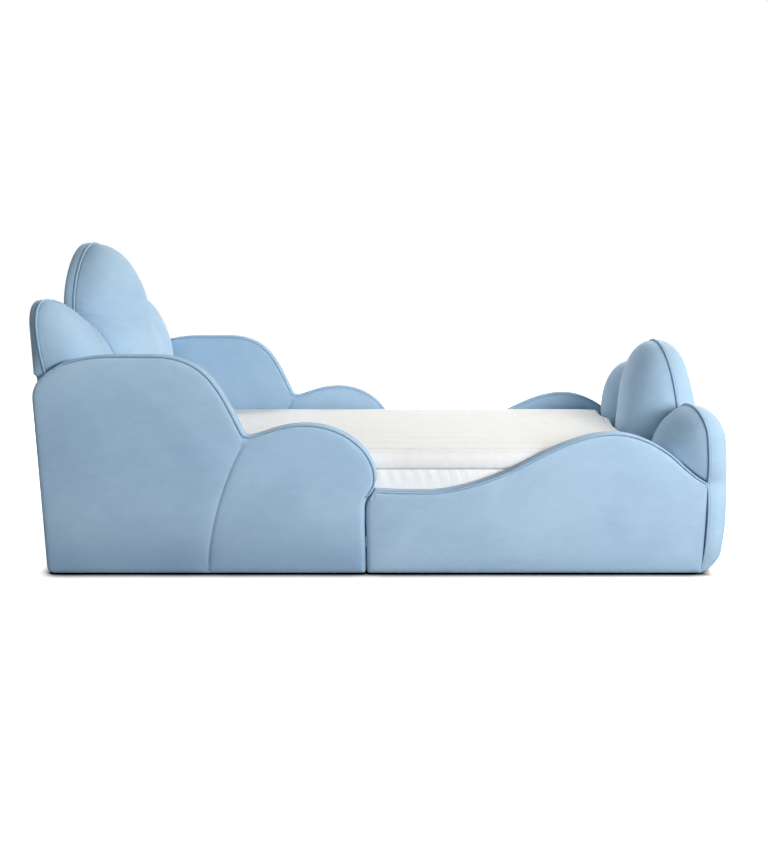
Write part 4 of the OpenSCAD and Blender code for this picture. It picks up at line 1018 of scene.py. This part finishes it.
def rounded_plan(inset):
    """Outline of the mattress in plan, moved inwards, with the same number of points each time."""
    r = MATTRESS_R - inset * 0.9
    half_l = MATTRESS_L / 2 - inset
    half_w = MATTRESS_W / 2 - inset
    corners = [(1, 1, 0), (-1, 1, 90), (-1, -1, 180), (1, -1, 270)]
    found = []
    for k, (sx, sy, start) in enumerate(corners):
        a = np.radians(start + np.linspace(0, 90, 13))
        arc = np.c_[sx * (half_l - r) + r * np.cos(a), sy * (half_w - r) + r * np.sin(a)]
        nx, ny, turn = corners[(k + 1) % 4]
        goal = np.array([nx * (half_l - r) + r * math.cos(math.radians(turn)),
                         ny * (half_w - r) + r * math.sin(math.radians(turn))])
        length = (MATTRESS_L if k % 2 == 0 else MATTRESS_W) - 2 * MATTRESS_R
        t = np.linspace(0, 1, round(length / PLAN_STEP) + 1)[1:-1, None]
        found += [arc, arc[-1] * (1 - t) + goal * t]
    return np.vstack(found)


def at_height(ring, z):
    return columns(ring[:, 0] + MATTRESS_X, ring[:, 1], z)


def mattress_piece(name, points, faces, shades, pushes):
    return make_piece(name, np.vstack(points), faces, ticking, "mattress",
                      np.concatenate(shades), np.concatenate(pushes))


PLAN_COUNT = len(rounded_plan(0))
PLAN_RUN = np.arange(PLAN_COUNT) * PLAN_STEP * 1.0


def mattress_core():
    """Core with a border that is gathered under the quilt and creased at its lower edge, with painted shade
    along its top and bottom edges.
    """
    n = PLAN_COUNT
    points, shades, pushes, faces = [], [], [], []
    for k, (inset, z) in enumerate(BORDER):
        points.append(at_height(rounded_plan(inset), CORE_Z + z))
        top = math.exp(-((CORE_H - z) / 42) ** 1.5)
        low = math.exp(-((z / 30) ** 1.5))
        lean = PLAN_RUN + 0.25 * z
        gathers = 1.9 * top * ripple(lean, 46) + 0.9 * top * ripple(lean + 300, 19)
        gathers += 0.8 * low * ripple(lean + 90, 33)
        pushes.append(fade(z, 0, 6) * gathers * (1 if z < 142 else 0.2))
        # Painted shade at the top and bottom creases of the border
        shades.append(np.full(n, 0.5 * math.exp(-((CORE_H - z) / 2.5)) + 0.35 * math.exp(-(z / 2.0))))
        if k:
            faces += strip((k - 1) * n, k * n, n)
    hub = len(BORDER) * n
    for first, z in ((0, 0), (hub - n, CORE_H)):
        points.append([[MATTRESS_X, 0, CORE_Z + z]])
        shades.append([0])
        pushes.append([0])
        faces += [(hub, first + i, first + (i + 1) % n) for i in range(n)]
        hub += 1
    return mattress_piece("mattress_body", points, faces, shades, pushes)


def pillow_height(points):
    """Height of the top face over its seam: channels, low ends and a stitched line round the edge."""
    from_end = MATTRESS_L / 2 - np.abs(points[:, 0])
    y = points[:, 1]
    crown = 9 * (1 - (y / 480) ** 2) * fade(from_end, 30, 190)
    k = (y + CHANNELS * CHANNEL_W / 2) / CHANNEL_W
    off = np.abs(k - np.round(k)) * CHANNEL_W
    puff = 5.5 * np.sqrt(np.maximum(0, np.sin(np.pi * (k % 1)))) * fade(from_end, 34, 90)
    gathers = 0.8 * ripple(points[:, 0] + 61 * np.round(k), 34) * np.exp(-off / 17)
    return ROLL_H + crown + puff + gathers * fade(from_end, 34, 60), off


def pressed_out(points):
    """Foot end of the quilt, which the lobes leave more room for beside their fullest lines."""
    y = np.abs(points[:, 1])
    reach = 9 * fade(y, 60, 130) + 17 * bell(y - FOOT_MID_Y, 46) + 14 * fade(y, 400, 480)
    return points + columns(reach * fade(points[:, 0], 800, 985), 0)


def mattress_top():
    """Quilt: a deep rolled edge, and a top stitched in channels along the bed, with painted shade at the foot
    of the roll, along the stitched edge and in the channel lines.
    """
    n = PLAN_COUNT
    points, shades, pushes, faces = [], [], [], []
    for k, (inset, z) in enumerate(ROLL[:-1]):
        points.append(at_height(pressed_out(rounded_plan(inset)), PILLOW_Z + z))
        low = math.exp(-((z / 26) ** 1.4))
        high = math.exp(-(((70 - z) / 14) ** 2))
        gathers = 1.7 * low * ripple(PLAN_RUN + 40 + 0.3 * z, 41) + 0.8 * low * ripple(PLAN_RUN, 17)
        pushes.append(fade(z, 0, 5) * (gathers + 0.5 * high * ripple(PLAN_RUN, 15)))
        # Painted shade at the foot of the roll
        shades.append(np.full(n, 0.55 * math.exp(-z / 2.2)))
        faces += strip(k * n, (k + 1) * n, n)
    steps = np.array([2.5, 7, 14, 24])
    across = np.concatenate([[0], steps, [35], CHANNEL_W - steps])
    rows = np.concatenate([across + k * CHANNEL_W - CHANNELS * CHANNEL_W / 2 for k in range(CHANNELS)])
    ring = rounded_plan(ROLL_IN)
    u = np.arange(-MATTRESS_L / 2 + 44, MATTRESS_L / 2 - 44, 13)
    grid = np.array([(x, y) for y in np.sort(rows) for x in u])
    grid = grid[inside(grid, ring)]
    grid = grid[nearest(grid, ring)[0] > 9]
    flat = np.vstack([ring, *[ring + d * inward(ring) for d in (2.5, 5)], grid])
    start = (len(ROLL) - 1) * n
    faces += [tuple(start + i for i in face) for face in triangulated(flat, n)]
    height, off = pillow_height(flat)
    from_edge = nearest(flat, ring)[0]
    height -= 2.6 * bell(from_edge, 4)
    height[:n] = ROLL_H - 2.2
    points.append(at_height(pressed_out(flat), PILLOW_Z + height))
    # Painted shade along the stitched edge and the channel lines
    shades.append(0.30 * bell(from_edge, 2.6) + 0.09 * bell(off, 2.2))
    pushes.append(np.zeros(len(flat)))
    hub = start + len(flat)
    points.append([[MATTRESS_X, 0, PILLOW_Z + 0.2]])
    shades.append([0])
    pushes.append([0])
    faces += [(hub, (i + 1) % n, i) for i in range(n)]
    return mattress_piece("mattress_quilt", points, faces, shades, pushes)


core = mattress_core()
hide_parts("mattress_core")
quilt = mattress_top()
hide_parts("mattress_pillow_top")


# Carried-over pieces of the frame

def dress(names, material):
    for name in names:
        node = nodes[name]
        node.data.materials.clear()
        node.data.materials.append(material)


dress([n for n in nodes if n.endswith("_board")], plywood)
dress(["left_ledger_rail", "right_ledger_rail", "centre_beam", "centre_legs"], pine)
dress(["head_cross_rail", "foot_cross_rail", "slats"], pine_across)
dress(["ledger_bolts", "cross_rail_bolts", "corner_angles", "joining_plates", "bracket_screws",
       "beam_hangers", "slat_screws"], steel)
dress(["slat_webbing"], webbing)
dress(["floor_glides"], black_plastic)


# Floor, light and camera

def seen_rays(add):
    """1 for the rays of the camera, and for those that a gloss or a glass throws on."""
    rays = add("LightPath").outputs
    seen = math_step(add, "MAXIMUM", rays["Is Camera Ray"], rays["Is Glossy Ray"])
    return math_step(add, "MAXIMUM", seen, rays["Is Transmission Ray"])


def open_sky(add, reach):
    """1 where nothing stands over the floor within reach, 0 where it is closed in."""
    return add("AmbientOcclusion", {"Distance": reach}, samples=16).outputs["AO"]


CONTACT_REACH = 0.06
UNDER_BED_REACH = 1.5


def studio_floor():
    """Grey to the light that it throws back, white to the eye, with painted shadow close to the bed and
    under it, from how closed in each place is. The painted dark line fades out past the foot end."""
    material, add, place = new_material("pale_floor")
    lit = add("BsdfDiffuse", {"Color": (0.06, 0.06, 0.06, 1)}).outputs["BSDF"]
    edge = spread(add, open_sky(add, CONTACT_REACH), from_min=0.5, from_max=0.97)
    outside = spread(add, open_sky(add, UNDER_BED_REACH), from_min=0.02, from_max=0.42)
    x = add("SeparateXYZ", {"Vector": place}).outputs["X"]
    edge = math_step(add, "MAXIMUM", edge, spread(add, x, from_min=1.18, from_max=1.23, to_max=0.85))
    # Painted shadow: the white and its glow are dimmed near and under the bed
    painted_shade = math_step(add, "MULTIPLY", edge, outside)
    white = add("BsdfDiffuse", {"Color": painted_shade}).outputs["BSDF"]
    away = add("VectorMath", {0: place}, operation="LENGTH").outputs["Value"]
    strength = spread(add, away, from_min=1.2, from_max=3.0, to_min=0.8)
    strength = math_step(add, "MULTIPLY", strength, painted_shade)
    glow = add("Emission", {"Color": (1, 1, 1, 1), "Strength": strength}).outputs["Emission"]
    shown = add("AddShader", {0: white, 1: glow}).outputs["Shader"]
    both = add("MixShader", {0: seen_rays(add), 1: lit, 2: shown}).outputs["Shader"]
    add("OutputMaterial", {"Surface": both})
    mesh = bpy.data.meshes.new("studio_floor")
    mesh.from_pydata([(-40, -12, 0), (40, -12, 0), (40, 60, 0), (-40, 60, 0)], [], [(0, 1, 2, 3)])
    mesh.materials.append(material)
    floor = put("studio_floor", mesh)


def studio_world():
    """Faint light of its own, and white to the eye."""
    world = bpy.data.worlds.new("studio")
    scene.world = world
    world.use_nodes = True
    add = node_maker(world)
    soft = add("Background", {"Color": (0.97, 0.985, 1, 1), "Strength": 0.04}).outputs["Background"]
    white = add("Background", {"Color": (1, 1, 1, 1), "Strength": 1}).outputs["Background"]
    both = add("MixShader", {0: seen_rays(add), 1: soft, 2: white}).outputs["Shader"]
    add("OutputWorld", {"Surface": both})


def lamp(name, place, power, colour, aim=(0, 0, 0.5), size=(2.0, 2.0)):
    data = bpy.data.lights.new(name, "AREA")
    data.shape = "RECTANGLE"
    data.size, data.size_y = size
    data.energy = power
    data.color = colour
    light = put(name, data)
    light.location = place
    light.rotation_euler = (Vector(aim) - Vector(place)).to_track_quat("-Z", "Y").to_euler()


studio_floor()
studio_world()
lamp("key", (3.6, -3.4, 2.2), 114, (1.0, 0.935, 0.865))
lamp("right", (4.2, -1.2, 2.2), 35, (1.0, 0.96, 0.91))
lamp("right_rim", (3.5, 2.0, 3.0), 76, (1.0, 0.97, 0.91), aim=(0, 0, 0.4), size=(2.5, 2.5))
lamp("back_top", (0.0, 3.6, 3.6), 148, (1.0, 1.0, 0.97), aim=(0, 0, 0.4), size=(4.0, 2.0))
lamp("back_left", (-4.2, 1.8, 1.8), 45, (0.97, 0.985, 1.0), aim=(-1.0, 0, 0.5))
lamp("front_right", (2.6, -5.0, 1.6), 130, (0.955, 0.975, 1.0), aim=(0.3, 0, 0.5), size=(2.0, 1.5))
lamp("front_fill", (0.0, -5.0, 1.2), 40, (0.86, 0.925, 1.0), size=(4.0, 1.5))

PHOTO_H_PX = 850
SHIFT_PX = -43
camera_data = bpy.data.cameras.new("camera")
camera_data.lens = 33.29
camera_data.sensor_width = 36
camera_data.shift_x = SHIFT_PX / PHOTO_H_PX
camera = put("camera", camera_data)
camera.location = (0.153, -3.335, 1.064)
camera.rotation_euler = (math.radians(79.8), 0, 0)
scene.camera = camera
scene.view_settings.view_transform = "Standard"
